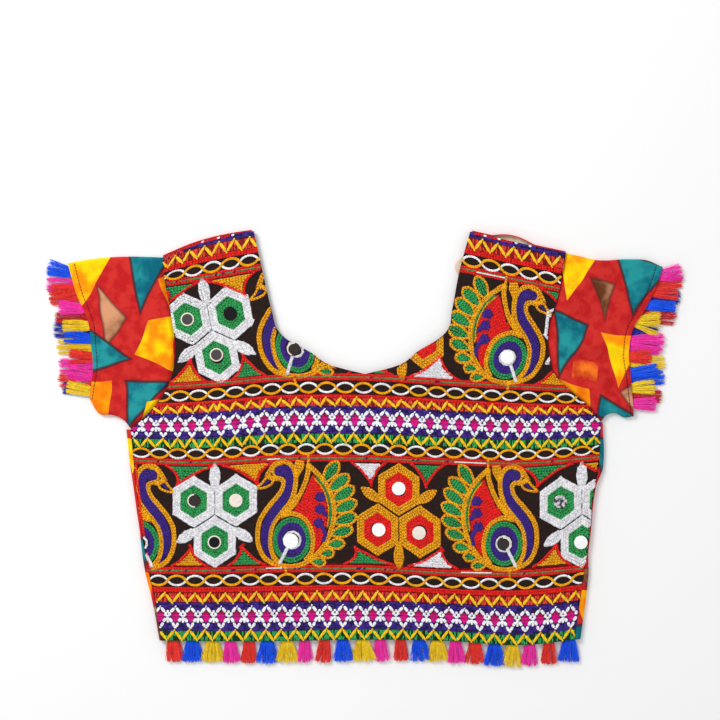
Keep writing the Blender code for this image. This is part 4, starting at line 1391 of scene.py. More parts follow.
# A darker thread under a row of loops, painted shade that shows in the loop holes: its colour, how wide and
# how low it lies.
LoopHoleShade = namedtuple("LoopHoleShade", "colour width drop")
LOOP_HOLE_SHADE = {
    "white": LoopHoleShade("grey", 1.25, 0.12),
    "violet": LoopHoleShade("indigo", 1.1, 0.3),
    "red": LoopHoleShade("scarlet", 1.1, 0.25),
    "orange": LoopHoleShade("amber", 1.05, 0.34),
    "green": LoopHoleShade("fern", 1.05, 0.34),
}


def model_link():
    """Model one loop of chain stitch, 1 long and 1 wide, pointing along x."""
    deselect_all()
    bpy.ops.mesh.primitive_torus_add(major_segments=6, minor_segments=3, major_radius=0.285,
                                     minor_radius=0.21, location=ORIGIN)
    loop = bpy.context.object
    select_points(loop, lambda place: place.x < -0.1)
    bpy.ops.transform.resize(value=(1.0, 0.6, 1.0), center_override=ORIGIN)
    bpy.ops.mesh.select_all(action="SELECT")
    bpy.ops.transform.resize(value=(1.0, 1.0, 2.4), center_override=ORIGIN)
    leave_edit()
    points, faces, uv = template_arrays(loop)
    points[:, 2] -= 0.25 * points[:, 0]
    return points, faces, uv


def model_bar():
    """Model a straight stitch, 1 long and 1 wide, with narrower ends."""
    bar = add_rod(4, 0.5, 0.0)
    for cut in (-0.3, 0.3):
        cut_across(cut)
    select_points(bar, lambda place: abs(place.x) > 0.45)
    bpy.ops.transform.resize(value=(1.0, 0.45, 0.45), center_override=ORIGIN)
    leave_edit()
    return template_arrays(bar)


def model_fine_thread():
    """Model a three-sided thread, 1 long and 1 wide, with one edge on top."""
    thread = add_rod(3, 0.5, 0.0)
    bpy.ops.transform.rotate(value=TIP_UP, orient_axis="X", center_override=ORIGIN)
    leave_edit()
    return template_arrays(thread)


STITCHES = {
    "link": (model_link(), LINK_THICK),
    "bar": (model_bar(), BAR_THICK),
    "thread": (model_fine_thread(), FINE_THICK),
}
for kind, ((points, faces, uv), thick) in STITCHES.items():
    print("one", kind, "has", sum(len(face) - 2 for face in faces), "triangles")

# %% Collect stitches and build them
NEEDLE_COLOURS = list(THREAD)
NEEDLE_THREAD = [thread_material("stitch_" + name, THREAD[name]) for name in NEEDLE_COLOURS]
STITCH_LIFT = 0.3
OVERHANG = 0.15


def neck_opening(x, height, margin):
    """Return both sides of the neck opening, and which places lie in it."""
    strap = np.maximum(height, NECK_POINT_HEIGHT)
    left, right = left_neck(strap) - margin, right_neck(strap) + margin
    return left, right, (height > NECK_POINT_HEIGHT) & (x > left) & (x < right)


def inside_front(x, height, margin):
    """Tell which places lie on the front, clear of its edges."""
    inside = (x > left_edge(height) + margin) & (x < right_edge(height) - margin)
    inside = inside & (height > 0.2) & (height < FRONT_HEIGHT + 0.4)
    near_point = (height > NECK_POINT_HEIGHT - margin) & (np.abs(x - NECK_POINT_X) < 6.0)
    return inside & ~neck_opening(x, height, margin)[2] & ~near_point


def kept_on_front(x, height):
    """Move places that stick out past an edge back to it."""
    x = np.clip(x, left_edge(height) - OVERHANG, right_edge(height) + OVERHANG)
    left, right, opening = neck_opening(x, height, -OVERHANG)
    nearest = np.where(x < 0.5 * (left + right), left, right)
    return np.where(opening, nearest, x)


class Needlework:
    """Stitches collected one after another, then built as one mesh."""

    def __init__(self, seed):
        self.random = np.random.default_rng(seed)
        self.batches = {kind: [] for kind in STITCHES}

    def add(self, kind, centres, ways, lengths, widths, lifts, colour):
        """Keep some stitches for later."""
        columns = [np.broadcast_to(value, len(centres))[:, None]
                   for value in (lengths, widths, lifts, NEEDLE_COLOURS.index(colour))]
        if len(centres):
            self.batches[kind].append(np.concatenate([centres, ways, *columns], axis=1))

    def chain(self, path, colour, width=LINK_WIDTH, lift=0.0, pitch=LINK_PITCH):
        """Work a row of chain stitch along a path on the cloth."""
        lengths = line_lengths(path)
        count = max(int(round(lengths[-1] / pitch)), 1)
        pitch = lengths[-1] / count
        middles = (np.arange(count) + 0.5) * pitch
        back, centres, front = (at_lengths(path, lengths, np.clip(middles + shift * pitch, 0.0, lengths[-1]))
                                for shift in (-0.45, 0.0, 0.45))
        ways = front - back
        ways = ways + self.random.normal(0.0, 0.07, ways.shape) * pitch
        ways = ways / np.linalg.norm(ways, axis=1)[:, None]
        moved = centres + self.random.normal(0.0, 0.12, centres.shape)
        size = self.random.uniform(0.94, 1.06, count)
        width = np.interp(middles, lengths, np.broadcast_to(width, len(path)))
        self.add("link", moved, ways, size * pitch * LINK_LENGTH / LINK_PITCH, width * size, lift, colour)
        # Every other loop gets a darker thread beneath it: painted shade in the loop holes.
        under = LOOP_HOLE_SHADE[colour]
        self.add("thread", centres[::2], ways[::2], 2.3 * pitch, under.width * width[::2],
                 lift - under.drop, under.colour)

    def bars(self, starts, ends, colour, width, lift=0.0, kind="bar"):
        """Work straight stitches between pairs of places."""
        starts, ends = np.asarray(starts, float), np.asarray(ends, float)
        ways = ends - starts
        lengths = np.linalg.norm(ways, axis=1)
        self.add(kind, 0.5 * (starts + ends), ways / lengths[:, None], lengths, width, lift, colour)

    def build(self, name, margin=0.7):
        """Bend every stitch to the cloth and join them as one mesh."""
        batches = []
        for kind, ((points, faces, uv), thick) in STITCHES.items():
            if not self.batches[kind]:
                continue
            rows = np.concatenate(self.batches[kind])
            rows = rows[inside_front(rows[:, 0], rows[:, 1], margin)]
            ways = rows[:, None, 2:4]
            sides = np.concatenate([-ways[..., 1:], ways[..., :1]], axis=-1)
            flat = rows[:, None, 0:2] + (points[None, :, 0] * rows[:, 4:5])[..., None] * ways
            flat = flat + (points[None, :, 1] * rows[:, 5:6])[..., None] * sides
            height = np.maximum(flat[..., 1], 0.0)
            x = kept_on_front(flat[..., 0], height)
            lift = STITCH_LIFT + points[None, :, 2] * thick + rows[:, 6:7]
            placed = on_front(x, height, lift).reshape(-1, 3)
            batches.append((placed, faces, uv, rows[:, 7].astype(int)))
        piece = joined_batches(name, batches, NEEDLE_THREAD)
        print("%s: %d triangles" % (name, triangles(piece)))
        return piece


print("thread colours:", ", ".join(NEEDLE_COLOURS))

# %% [markdown]
# ## Hem stitches of the cuffs
#
# Each cuff is turned in and sewn down with a row of small dark stitches,
# about 5 mm from its edge.  They are thin threads laid on the upper side.

# %% Cuff stitches
CUFF_STITCH = 2.3
CUFF_STITCH_RADIUS = 0.4
DARK_THREAD = thread_material("cuff_stitch", srgb(52, 20, 34))


def cuff_stitches(name, shape):
    """Sew a row of small stitches along a cuff."""
    ring = ring_places(shape, 1.0 - HEM_LINE / SLEEVE_REACH)[:SLEEVE_STEPS + 1]
    lengths = line_lengths(ring)
    starts = np.arange(3.0, lengths[-1] - 5.0, 1.35 * CUFF_STITCH)
    first, last = (at_lengths(ring, lengths, starts + reach) for reach in (0.0, CUFF_STITCH))
    ways = (last - first)[:, None]
    flat = ways[..., :2] / np.linalg.norm(ways[..., :2], axis=-1, keepdims=True)
    sides = np.concatenate([-flat[..., 1:], flat[..., :1], 0.0 * flat[..., :1]], axis=-1)
    placed = first[:, None] + THREAD_POINTS[None, :, :1] * ways
    placed = placed + CUFF_STITCH_RADIUS * THREAD_POINTS[None, :, 1:2] * sides
    placed[..., 2] += CUFF_STITCH_RADIUS * THREAD_POINTS[None, :, 2] + 0.5 * CUFF_STITCH_RADIUS
    batch = (placed.reshape(-1, 3), THREAD_FACES, THREAD_UV, [0] * len(starts))
    return joined_batches(name, [batch], [DARK_THREAD])


cuff_left_stitches = cuff_stitches("cuff_left_stitches", LEFT_SLEEVE)
cuff_right_stitches = cuff_stitches("cuff_right_stitches", RIGHT_SLEEVE)
print("cuff stitches:", triangles(cuff_left_stitches, cuff_right_stitches), "triangles")

# %% [markdown]
# ## Lines for the needle
#
# A motif is drawn as a few lines and outlines in its own small frame, in
# millimetres.  Rows of chain stitch follow a line, run beside it, go round
# an outline, or fill it from side to side.  A spot says where the motif
# lies, which way it faces, and how far its upper part leans.

# %% Paths, outlines and fills
ROW = 2.3
HEX_STRETCH = 1.11
PATH_STEP = 0.5
PETAL_POINTS = 9
OVAL_POINTS = 24
Spot = namedtuple("Spot", "x height across up lean")


def pairs(x, height):
    """Return places as pairs of x and height."""
    return np.column_stack(np.broadcast_arrays(x, height))


def put(spot, path):
    """Return a motif's line at its spot on the cloth."""
    path = np.asarray(path, float)
    rise = spot.up * path[:, 1]
    return pairs(spot.x + spot.across * path[:, 0] + spot.lean * rise, spot.height + rise)


def smooth_path(points, closed=False):
    """Return close places along a smooth line through the points."""
    points = np.asarray(points, float)
    if closed:
        points = np.concatenate((points[-3:], points, points[:3]))
    lengths = line_lengths(points)
    first, last = (lengths[3], lengths[-3]) if closed else (0.0, lengths[-1])
    places = np.linspace(first, last, max(int((last - first) / PATH_STEP), 3))
    return np.column_stack([smooth_curve(lengths, part)(places) for part in points.T])


def straight_path(points, closed=False):
    """Return close places along straight lines between the points."""
    points = np.asarray(points, float)
    if closed:
        points = np.concatenate((points, points[:1]))
    lengths = line_lengths(points)
    return at_lengths(points, lengths, np.linspace(0.0, lengths[-1], max(int(lengths[-1] / PATH_STEP), 3)))


def beside(path, distance):
    """Return a line beside a path, to its left if positive."""
    ways = np.gradient(path, axis=0)
    ways = ways / np.maximum(np.linalg.norm(ways, axis=1), 1e-9)[:, None]
    return path + distance * np.column_stack([-ways[:, 1], ways[:, 0]])


def hexagon(centre, apothem):
    """Return a hexagon's corners; its flats lie at the apothem."""
    angles = np.radians(90.0 + 60.0 * np.arange(6))
    radius = apothem / math.cos(math.pi / 6)
    return pairs(centre[0] + radius * np.cos(angles), centre[1] + HEX_STRETCH * radius * np.sin(angles))


def oval(centre, half_width, half_height):
    """Return points round an oval."""
    angles = 2.0 * np.pi * np.arange(OVAL_POINTS) / OVAL_POINTS
    return pairs(centre[0] + half_width * np.cos(angles), centre[1] + half_height * np.sin(angles))


def petal(base, tip, half_width):
    """Return the outline of a petal that is widest nearer its tip."""
    base, tip = np.asarray(base, float), np.asarray(tip, float)
    t = np.linspace(0.0, 1.0, PETAL_POINTS)
    way = (tip - base) / np.linalg.norm(tip - base)
    side = np.array([-way[1], way[0]])
    spine = base + t[:, None] * (tip - base)
    swell = half_width * np.sin(np.pi * t**1.35)**0.55
    left = spine + swell[:, None] * side
    right = spine - swell[:, None] * side
    return np.concatenate((left, right[-2:0:-1]))


def tapered_rows(work, spot, spine, half_widths, colour, lift=0.0):
    """Fill a long shape with rows that follow its spine."""
    path = smooth_path(spine)
    lengths = line_lengths(path)
    given = line_lengths(np.asarray(spine, float))
    half = np.interp(lengths / lengths[-1], given / given[-1], half_widths)
    count = max(int(round(2.0 * max(half_widths) / ROW)), 1)
    for number in range(count):
        share = (2.0 * number + 1.0) / count - 1.0
        line = beside(path, 1.0) - path
        row = path + (share * half)[:, None] * line
        width = np.maximum(2.0 * half / count + 0.5, 1.3)
        work.chain(put(spot, row), colour, width=width, lift=lift)


def filled(work, spot, outline, angle, colour, inset):
    """Fill an outline with straight rows at an angle in degrees."""
    turn = math.radians(angle)
    rotate = np.array([[math.cos(turn), -math.sin(turn)], [math.sin(turn), math.cos(turn)]])
    points = outline @ rotate
    following = np.roll(points, -1, axis=0)
    low, high = points[:, 1].min(), points[:, 1].max()
    count = max(int(round((high - low) / ROW)), 1)
    for number in range(count):
        level = low + (number + 0.5) * (high - low) / count
        crossing = (points[:, 1] <= level) != (following[:, 1] <= level)
        first, second = points[crossing], following[crossing]
        share = (level - first[:, 1]) / (second[:, 1] - first[:, 1])
        places = np.sort(first[:, 0] + share * (second[:, 0] - first[:, 0]))
        for start, end in zip(places[0::2], places[1::2]):
            if end - start >= 2.0 * inset + 0.6:
                line = straight_path([(start + inset, level), (end - inset, level)])
                work.chain(put(spot, line @ rotate.T), colour)


def ringed(work, spot, corners, colour, smooth=True, **stitch):
    """Work one row of chain stitch round an outline."""
    path = smooth_path(corners, closed=True) if smooth else straight_path(corners, closed=True)
    work.chain(put(spot, path), colour, **stitch)


print("rows of chain stitch are %.2f mm apart" % ROW)

# %% [markdown]
# ## Flowers
#
# A flower is three hexagons that meet in the middle, each with a mirror at
# its heart.  Three rows of one colour go round three rows of another.  A
# pointed leaf stands on top, and two more point outwards below.

# %% Flowers
HEX_CENTRES = ((-20.1, 13.1), (20.1, 13.1), (0, -26.1))
OUTER_APOTHEMS = (18.4, 16.1, 13.9)
INNER_APOTHEMS = (11.7, 9.6)
HEART_FILL = 9.4
HEART_RADIUS = {"green": 7.3, "red": 8}
FLOWER_LEAVES = (((0, 24.5), (0, 49.3)), ((-17, -14), (-35.5, -26.5)),
                 ((17, -14), (35.5, -26.5)))
LEAF_HALF_WIDTHS = (1.6, 4, 4.9, 4.2, 0.8)


def flower(work, spot, outer, inner):
    """Work a flower of three hexagons with its leaves."""
    for centre in HEX_CENTRES:
        for apothem in OUTER_APOTHEMS:
            ringed(work, spot, hexagon(centre, apothem), outer, smooth=False)
        for apothem in INNER_APOTHEMS:
            ringed(work, spot, hexagon(centre, apothem), inner, smooth=False)
        ringed(work, spot, oval(centre, HEART_FILL, HEART_FILL), inner, lift=-0.15)
        radius = HEART_RADIUS[inner]
        ringed(work, spot, oval(centre, radius, radius), inner, width=3.5, lift=0.25)
    for base, tip in FLOWER_LEAVES:
        spine = np.linspace(base, tip, len(LEAF_HALF_WIDTHS))
        tapered_rows(work, spot, spine, LEAF_HALF_WIDTHS, outer)


print("flower ready, %d rows a hexagon" % (len(OUTER_APOTHEMS) + len(INNER_APOTHEMS)))

# %% [markdown]
# ## Peacocks
#
# The peacock sits on a round belly with a mirror in it.  Its neck rises in
# a long curve, the wing is a red drop with three violet spots, and a row of
# small green feathers fans out behind.  Everything is edged with two rows
# of orange, one round each feather.

# %% Peacocks
NECK_SPINE = ((-7.5, 66.3), (-4.6, 66), (-2.6, 62), (-2.6, 53), (-6.5, 41), (-14, 30.5),
              (-20.4, 20.5), (-24.4, 11), (-25.2, 1), (-24.2, -8.5), (-20.4, -17))
NECK_HALF_WIDTHS = (4.2, 4.2, 3.9, 3.7, 4, 4.4, 4.4, 4.1, 3.6, 2.6, 0.7)
HEAD = (-11, 65.2)
HEAD_RING = 6.6
THROAT_LINE = ((-22, 60), (-16.8, 58.2), (-11.5, 58.6), (-8, 55.5), (-8, 50.5), (-11, 44.5),
               (-18.2, 36), (-25.4, 27), (-30.4, 18), (-32.2, 8.5), (-32, -1.5), (-29.6, -10),
               (-25, -17.5), (-18, -22.5))
NAPE_LINE = ((-23.5, 61), (-19.8, 67), (-16.6, 71.5), (-10.5, 74.5), (-3.5, 73), (1.8, 67),
             (3.8, 58), (2.8, 47.5), (-0.4, 37.5), (-6.8, 29), (-13.2, 21.5), (-18.4, 13),
             (-20.4, 3), (-20, -7.5), (-17, -16), (-11, -22.8))
BEAK = ((-32.5, 49.8), (-28, 54.5), (-22, 60.5), (-17, 58.5), (-19, 53.5), (-25, 50.5))
BEAK_SPOT = ((-25.6, 53.2), (-20.6, 57.4))
CREST = ((3.6, 57.5), (5.2, 63.5), (6.8, 69), (8.2, 75))
CREST_HALF_WIDTHS = (1.4, 3.2, 4.8, 3.8)
WING = ((20.8, 59.8), (25, 53.5), (29.8, 45), (32.6, 36), (33.8, 27), (33.2, 17),
        (31.4, 6.5), (27.6, -4), (21, -13), (22.4, -2), (21, 7), (17, 15.5),
        (10.8, 22), (3, 27.2), (8, 36.3), (11.8, 43.5), (15, 49.8))
WING_FRONT = ((16.2, 70.8), (15.2, 62), (12.2, 52.5), (8.4, 43.6), (4, 36), (-1.2, 29.8),
              (-7, 24.8))
TIES = (((15.6, 69), (15.8, 74.5), (16, 80)), ((-6, -24), (-5.6, -28), (-5.4, -32)))
THIGH = ((4.4, 42), (1.6, 34.5), (-3.6, 27.6), (-9.5, 21.5))
WING_BACK = ((15.4, 71), (21.5, 65.5), (28.5, 58), (34.4, 49), (38.4, 39), (40.2, 28.5),
             (39.6, 18), (37.2, 8), (33, -2), (27, -11), (19.6, -18.2), (10.6, -23.4),
             (1, -25.4), (-9, -24.8), (-18, -22))
WING_VEIN = ((23.5, 59), (30.4, 50.5), (34.9, 40), (37, 29.5), (36.8, 19.5), (36, 12))
BELLY_RIGHT = ((-9, 22.6), (-0.5, 24.6), (7.4, 22.6), (14.2, 17.5), (18.8, 8.5), (20.4, -1.5),
               (19, -11.5), (13.5, -20))
BELLY_ROWS = (("violet", 9.9, 10.2, 0), ("violet", 12.1, 12.8, 0),
              ("violet", 12.4, 15.4, -0.4), ("green", 14.7, 17.8, -0.4), ("green", 17, 20.4, -0.4))
WING_SPOTS = (((27, 40.2), (31.4, 36.6)), ((27, 28.6), (33.4, 22.6)), ((25.6, 15.4), (30.4, 9.5)))
WING_TAIL = ((28.6, 13), (31.6, 5), (30.2, -2.5))
STEM = ((-4.2, -8), (-11.5, -22.5))
RIM_CENTRE = (0.5, -0.4)
RIM_RADIUS = 6.9
BIG_RIM_RADIUS = 7.6
# Each feather: its base, its tip and half its width.
FEATHERS = (
    ((31.4, 55.8), (43, 72.6), 3.4),
    ((36.6, 47), (52.8, 60), 3.6),
    ((40.2, 37.2), (57.6, 48.8), 3.6),
    ((42, 26.8), (60, 35.4), 3.5),
    ((42.4, 16.2), (60, 22.2), 3.4),
    ((40, 4.8), (56, 9.8), 3),
    ((36.2, -5.2), (48.4, -4), 2.5),
    ((29.4, -14), (38.4, -13), 2),
    ((21, -21.2), (30.2, -22.2), 1.8),
)


def side_by_side(work, spot, line, lift=0.0):
    """Work two orange rows of chain stitch side by side along a line."""
    path = smooth_path(line)
    for shift in (-0.5 * ROW, 0.5 * ROW):
        work.chain(put(spot, beside(path, shift)), "orange", lift=lift)


def wing(work, spot):
    """Work the red wing with its violet spots and green vein."""
    filled(work, spot, smooth_path(WING, closed=True), 66.0, "red", 0.4)
    for blob, tail in WING_SPOTS:
        for radius in (3.0, 0.9):
            ringed(work, spot, oval(blob, radius, radius), "violet", width=3.2, lift=0.55)
        work.chain(put(spot, straight_path((blob, tail))), "violet", width=4.2, lift=0.5)
    work.chain(put(spot, smooth_path(WING_TAIL)), "violet", width=4.2, lift=0.5)
    side_by_side(work, spot, WING_FRONT, lift=0.1)
    side_by_side(work, spot, WING_BACK, lift=0.1)
    vein = smooth_path(WING_VEIN)
    work.chain(put(spot, vein), "green", width=1.9, lift=0.25)
    work.chain(put(spot, beside(vein, -1.9)), "orange", width=1.8, lift=0.2)


def feathers(work, spot):
    """Work the green feathers behind the wing, each with an orange edge."""
    for base, tip, half_width in FEATHERS:
        base, tip = np.array(base), np.array(tip)
        way = (tip - base) / np.linalg.norm(tip - base)
        edge = petal(base - 2.6 * way, tip + 1.5 * way, half_width + 2.2)
        ringed(work, spot, edge, "orange", width=2.8, lift=0.1)
        core = petal(base - 1.4 * way, tip, half_width + 0.6)
        filled(work, spot, core, math.degrees(math.atan2(way[1], way[0])), "green", 0.1)


def peacock(work, spot, rim=RIM_RADIUS):
    """Work a peacock that faces left, with a white ring round its mirror."""
    tapered_rows(work, spot, NECK_SPINE, NECK_HALF_WIDTHS, "violet")
    for radius in (3.9, 1.5):
        ringed(work, spot, oval(HEAD, radius, radius), "violet")
    brow = np.radians(np.linspace(80.0, 235.0, 15))
    over_head = np.array(HEAD) + HEAD_RING * pairs(np.cos(brow), np.sin(brow))
    work.chain(put(spot, over_head), "orange")
    side_by_side(work, spot, THROAT_LINE)
    side_by_side(work, spot, NAPE_LINE)
    ringed(work, spot, np.array(BEAK), "orange")
    work.chain(put(spot, straight_path(BEAK_SPOT)), "violet", width=2.4, lift=0.3)
    tapered_rows(work, spot, CREST, CREST_HALF_WIDTHS, "orange", lift=0.1)
    for line in (THIGH, *TIES):
        work.chain(put(spot, smooth_path(line)), "orange", lift=0.2)
    for colour, half_width, half_height, drop in BELLY_ROWS:
        ringed(work, spot, oval((0.0, drop), half_width, half_height), colour)
    ringed(work, spot, oval(RIM_CENTRE, rim, rim), "white", width=2.0, lift=0.45, pitch=2.0)
    work.chain(put(spot, straight_path(STEM)), "white", width=2.9, lift=0.5, pitch=2.0)
    side_by_side(work, spot, BELLY_RIGHT)
    wing(work, spot)
    feathers(work, spot)


print("feathers behind each peacock:", len(FEATHERS))

# %% [markdown]
# ## Corner leaves
#
# Where a flower and a peacock leave a gap, a three-cornered leaf fills it.
# One side lies along the border line, and the other two bow inwards.  Rows
# along the long side fill the leaf, and one red row goes round it.

# %% Corner leaves
BOW = 0.77
LEAF_POINTS = 9
ON_CLOTH = Spot(0.0, 0.0, 1, 1, 0.0)


def bowed_side(start, end, inner):
    """Return a side that bows towards a place inside."""
    control = 0.5 * (start + end)
    control = control + BOW * (inner - control)
    t = np.linspace(0.0, 1.0, LEAF_POINTS)[:-1, None]
    return (1 - t)**2 * start + 2 * t * (1 - t) * control + t**2 * end


def corner_leaf(work, colour, start, end, level, tip_x, tip_height):
    """Work a three-cornered leaf and its red edge."""
    first, second, tip = np.array([(start, level), (end, level), (tip_x, tip_height)])
    middle = (first + second + tip) / 3.0
    base = first + np.linspace(0.0, 1.0, LEAF_POINTS)[:-1, None] * (second - first)
    sides = np.concatenate((bowed_side(second, tip, middle), bowed_side(tip, first, middle)))
    filled(work, ON_CLOTH, np.concatenate((base, sides)), 0.0, colour, 0.6)
    sides = np.concatenate((sides, first[None]))
    out = sides - middle
    out = sides + 1.7 * out / np.linalg.norm(out, axis=1)[:, None]
    work.chain(straight_path(out), "red", lift=0.1)


print("corner leaves are ready")

# %% [markdown]
# ## The middle row
#
# Between the hem bands and the chest bands runs a row of peacocks and
# flowers.  The pattern repeats, and the cut edges of the cloth run straight
# through the outer motifs.  A thin red line closes the row at the left.

# %% Middle row
# Each leaf: colour, both ends and the height of its long side, then its tip.
MIDDLE_LEAVES = (
    ("green", -188.6, -146.3, 168, -178.6, 151.4),
    ("orange", -133.9, -90.2, 168, -103.5, 150.1),
    ("white", -11.4, 16.1, 167, 4.8, 148.7),
    ("green", 44.6, 72.2, 167.5, 57, 148.5),
    ("green", 148.2, 193.8, 168, 163.4, 151.1),
    ("orange", 206, 222, 167, 221, 158),
    ("orange", -183.3, -153, 72, -166.6, 88.5),
    ("green", -129.2, -97.8, 72, -117.5, 88.5),
    ("green", -18.2, 24.7, 72, -9.5, 86),
    ("white", 42.8, 84.5, 72, 71.2, 88.3),
    ("orange", 159.6, 191.9, 73, 180.5, 91.8),
)
ROW_SPLIT = -20.0


def build_middle_row():
    """Work the middle row as a left and a right piece."""
    left, right = Needlework(21), Needlework(22)
    peacock(left, Spot(-214.6, 93.2, -1, 1, 0.0))
    flower(left, Spot(-143.6, 121.0, 1, 1, 0.0), "white", "green")
    peacock(left, Spot(-70.6, 94.8, 1, 1, 0.0), BIG_RIM_RADIUS)
    flower(right, Spot(31.2, 117.6, 1, -1, 0.0), "orange", "red")
    peacock(right, Spot(131.2, 96.0, -0.96, 0.985, 0.0))
    flower(right, Spot(205.0, 118.6, 1, 1, 0.0), "white", "green")
    for colour, start, *rest in MIDDLE_LEAVES:
        corner_leaf(left if start < ROW_SPLIT else right, colour, start, *rest)
    for low, high in ((70.0, 84.0), (101.0, 169.0)):
        heights = np.arange(low, high, 1.6)
        left.chain(pairs(left_edge(heights) + 1.5, heights), "red", lift=0.3)
    return left.build("middle_row_left"), right.build("middle_row_right")


middle_left, middle_right = build_middle_row()

# %% [markdown]
# ## The upper row
#
# The same row comes again above the chest bands.  The neckline cuts through
# it, so only pieces of it are left.  The straps lean outwards, and the
# motifs on them lean the same way.

# %% Upper row
UPPER_LEAVES = (
    ("green", -191.5, -161.5, 345.2, -187.5, 331),
    ("orange", -150.1, -108, 345.2, -115.5, 327),
    ("orange", -186.2, -154, 252.6, -167, 272.5),
    ("green", -124.5, -97, 252.6, -116.5, 271),
    ("green", -15.2, 22.8, 252.6, -7, 266),
    ("white", 43.7, 85.5, 252.4, 70.3, 270.8),
    ("orange", 163.3, 192.2, 252.6, 180.5, 270.8),
    ("green", 168.5, 206, 345.2, 185, 330),
)


def build_upper_row():
    """Work what the neckline leaves of the upper row."""
    work = Needlework(23)
    flower(work, Spot(-146.6, 299.3, 1, 1, -0.19), "white", "green")
    peacock(work, Spot(-67.4, 274.2, 1, 0.96, -0.19))
    flower(work, Spot(34.0, 297.0, 1, -1, 0.0), "orange", "red")
    peacock(work, Spot(134.8, 275.6, -0.98, 0.94, 0.19))
    flower(work, Spot(209.0, 299.0, 1, 1, 0.1), "white", "green")
    for leaf in UPPER_LEAVES:
        corner_leaf(work, *leaf)
    return work.build("upper_row")


upper_row = build_upper_row()

# %% [markdown]
# ## Bands
#
# Woven-looking bands frame the rows.  They hold zigzags of thick yellow
# stitches, rows of white and magenta diamonds on violet thread, two
# strands of chain stitch that cross and cross again, and plain red lines
# with a twisted green thread between them.

# %% What a band is made of
REACH = 226.0
PERIOD = 14.44
CHAIN_HALF = 17.45
CHAIN_RISE = 4.65
UPRIGHT_PITCH = 1.45
LEVEL_PITCH = 1.12
DIAMOND_HALF = 4.6
SOLID_PITCH = 2.35


def level_path(height, start=-REACH, end=REACH):
    """Return a level line across the cloth."""
    return pairs(np.arange(start, end, 1.0), height)


def repeats(first, period, start=-REACH, end=REACH):
    """Return the places from start to end that repeat through a first one."""
    return first + period * np.arange(math.ceil((start - first) / period), math.ceil((end - first) / period))


def zigzag(work, low, high, peaks, colour="yellow", uneven=0.0):
    """Work thick stitches up and down, with a small one on each peak."""
    count = len(peaks)
    peaks = peaks + work.random.normal(0.0, 0.35, count)
    valleys = peaks + np.append(np.diff(peaks), peaks[-1] - peaks[-2]) * (0.5 + uneven)
    tops = high + work.random.normal(0.0, 0.3, count)
    floors = low + work.random.normal(0.0, 0.3, count)
    work.bars(pairs(valleys[:-1] + 0.7, floors[:-1] + 0.9), pairs(peaks[1:] - 0.3, tops[1:] - 0.4),
              colour, 2.5, 0.65)
    for middle in (pairs(valleys, floors - 0.2), pairs(peaks + 0.2, tops + 0.1)):
        work.bars(middle - np.array([0.7, 0.3]), middle + np.array([0.7, 0.3]), colour, 1.9, 0.8)
    work.bars(pairs(peaks + 0.9, tops - 1.2), pairs(valleys - 0.4, floors + 0.5), colour, 2.6, 0.45)


def upright_threads(work, low, high, colours, start=-REACH, end=REACH, lift=0.0):
    """Fill a band with short upright threads of two tones."""
    x = np.arange(start, end, UPRIGHT_PITCH)
    x = x + work.random.normal(0.0, 0.15, len(x))
    lean = work.random.normal(0.0, 0.3, len(x))
    middle = 0.5 * (low + high) + work.random.normal(0.0, 0.8, len(x))
    for foot, head in ((low, middle - 0.2), (middle + 0.2, high)):
        starts, ends = pairs(x - lean, foot), pairs(x + lean, head)
        first = work.random.uniform(0.0, 1.0, len(x)) < 0.6
        for colour, here in zip(colours, (first, ~first)):
            work.bars(starts[here], ends[here], colour, 1.3, lift, kind="thread")


def level_threads(work, low, high, colours, phase, length):
    """Fill a band with rows of level threads of two tones."""
    for height in np.arange(low + 0.5 * LEVEL_PITCH, high, LEVEL_PITCH):
        x = phase + length * np.arange(-int(2 * REACH / length), int(2 * REACH / length))
        x = x + work.random.normal(0.0, 0.4, len(x))
        rise = work.random.normal(0.0, 0.12, len(x))[:-1]
        starts, ends = pairs(x[:-1] + 0.3, height - rise), pairs(x[1:] - 0.3, height + rise)
        first = work.random.uniform(0.0, 1.0, len(starts)) < 0.65
        lift = work.random.normal(0.0, 0.12, len(starts))
        for colour, here in zip(colours, (first, ~first)):
            work.bars(starts[here], ends[here], colour, 1.1, lift[here], kind="thread")


# Each white stitch of a diamond: its start, its end and its width.
# The side stitches are worked on both sides, the others once.
SIDE_BEADS = (
    ((0.9, 8.6), (4.3, 4.5), 2.7),
    ((0.9, -9.4), (2.9, -5.8), 2.6),
    ((3, -4.9), (5.5, -1.3), 2.9),
    ((4.9, 1), (5.6, 4.4), 2.6),
)
APEX_BEADS = (
    ((-0.5, 10), (0.6, 9.4), 2.3),
    ((0, -10.9), (0.1, -9.2), 2.4),
)
MIDDLE_BEADS = (
    ((0, 3.8), (0, 6.3), 2.3),
    ((-1.9, 0.9), (1.9, 0.9), 1.8),
    ((-1.5, -1.7), (1.5, -1.7), 2.7),
    ((0, -2.9), (0, -5.6), 2.2),
)


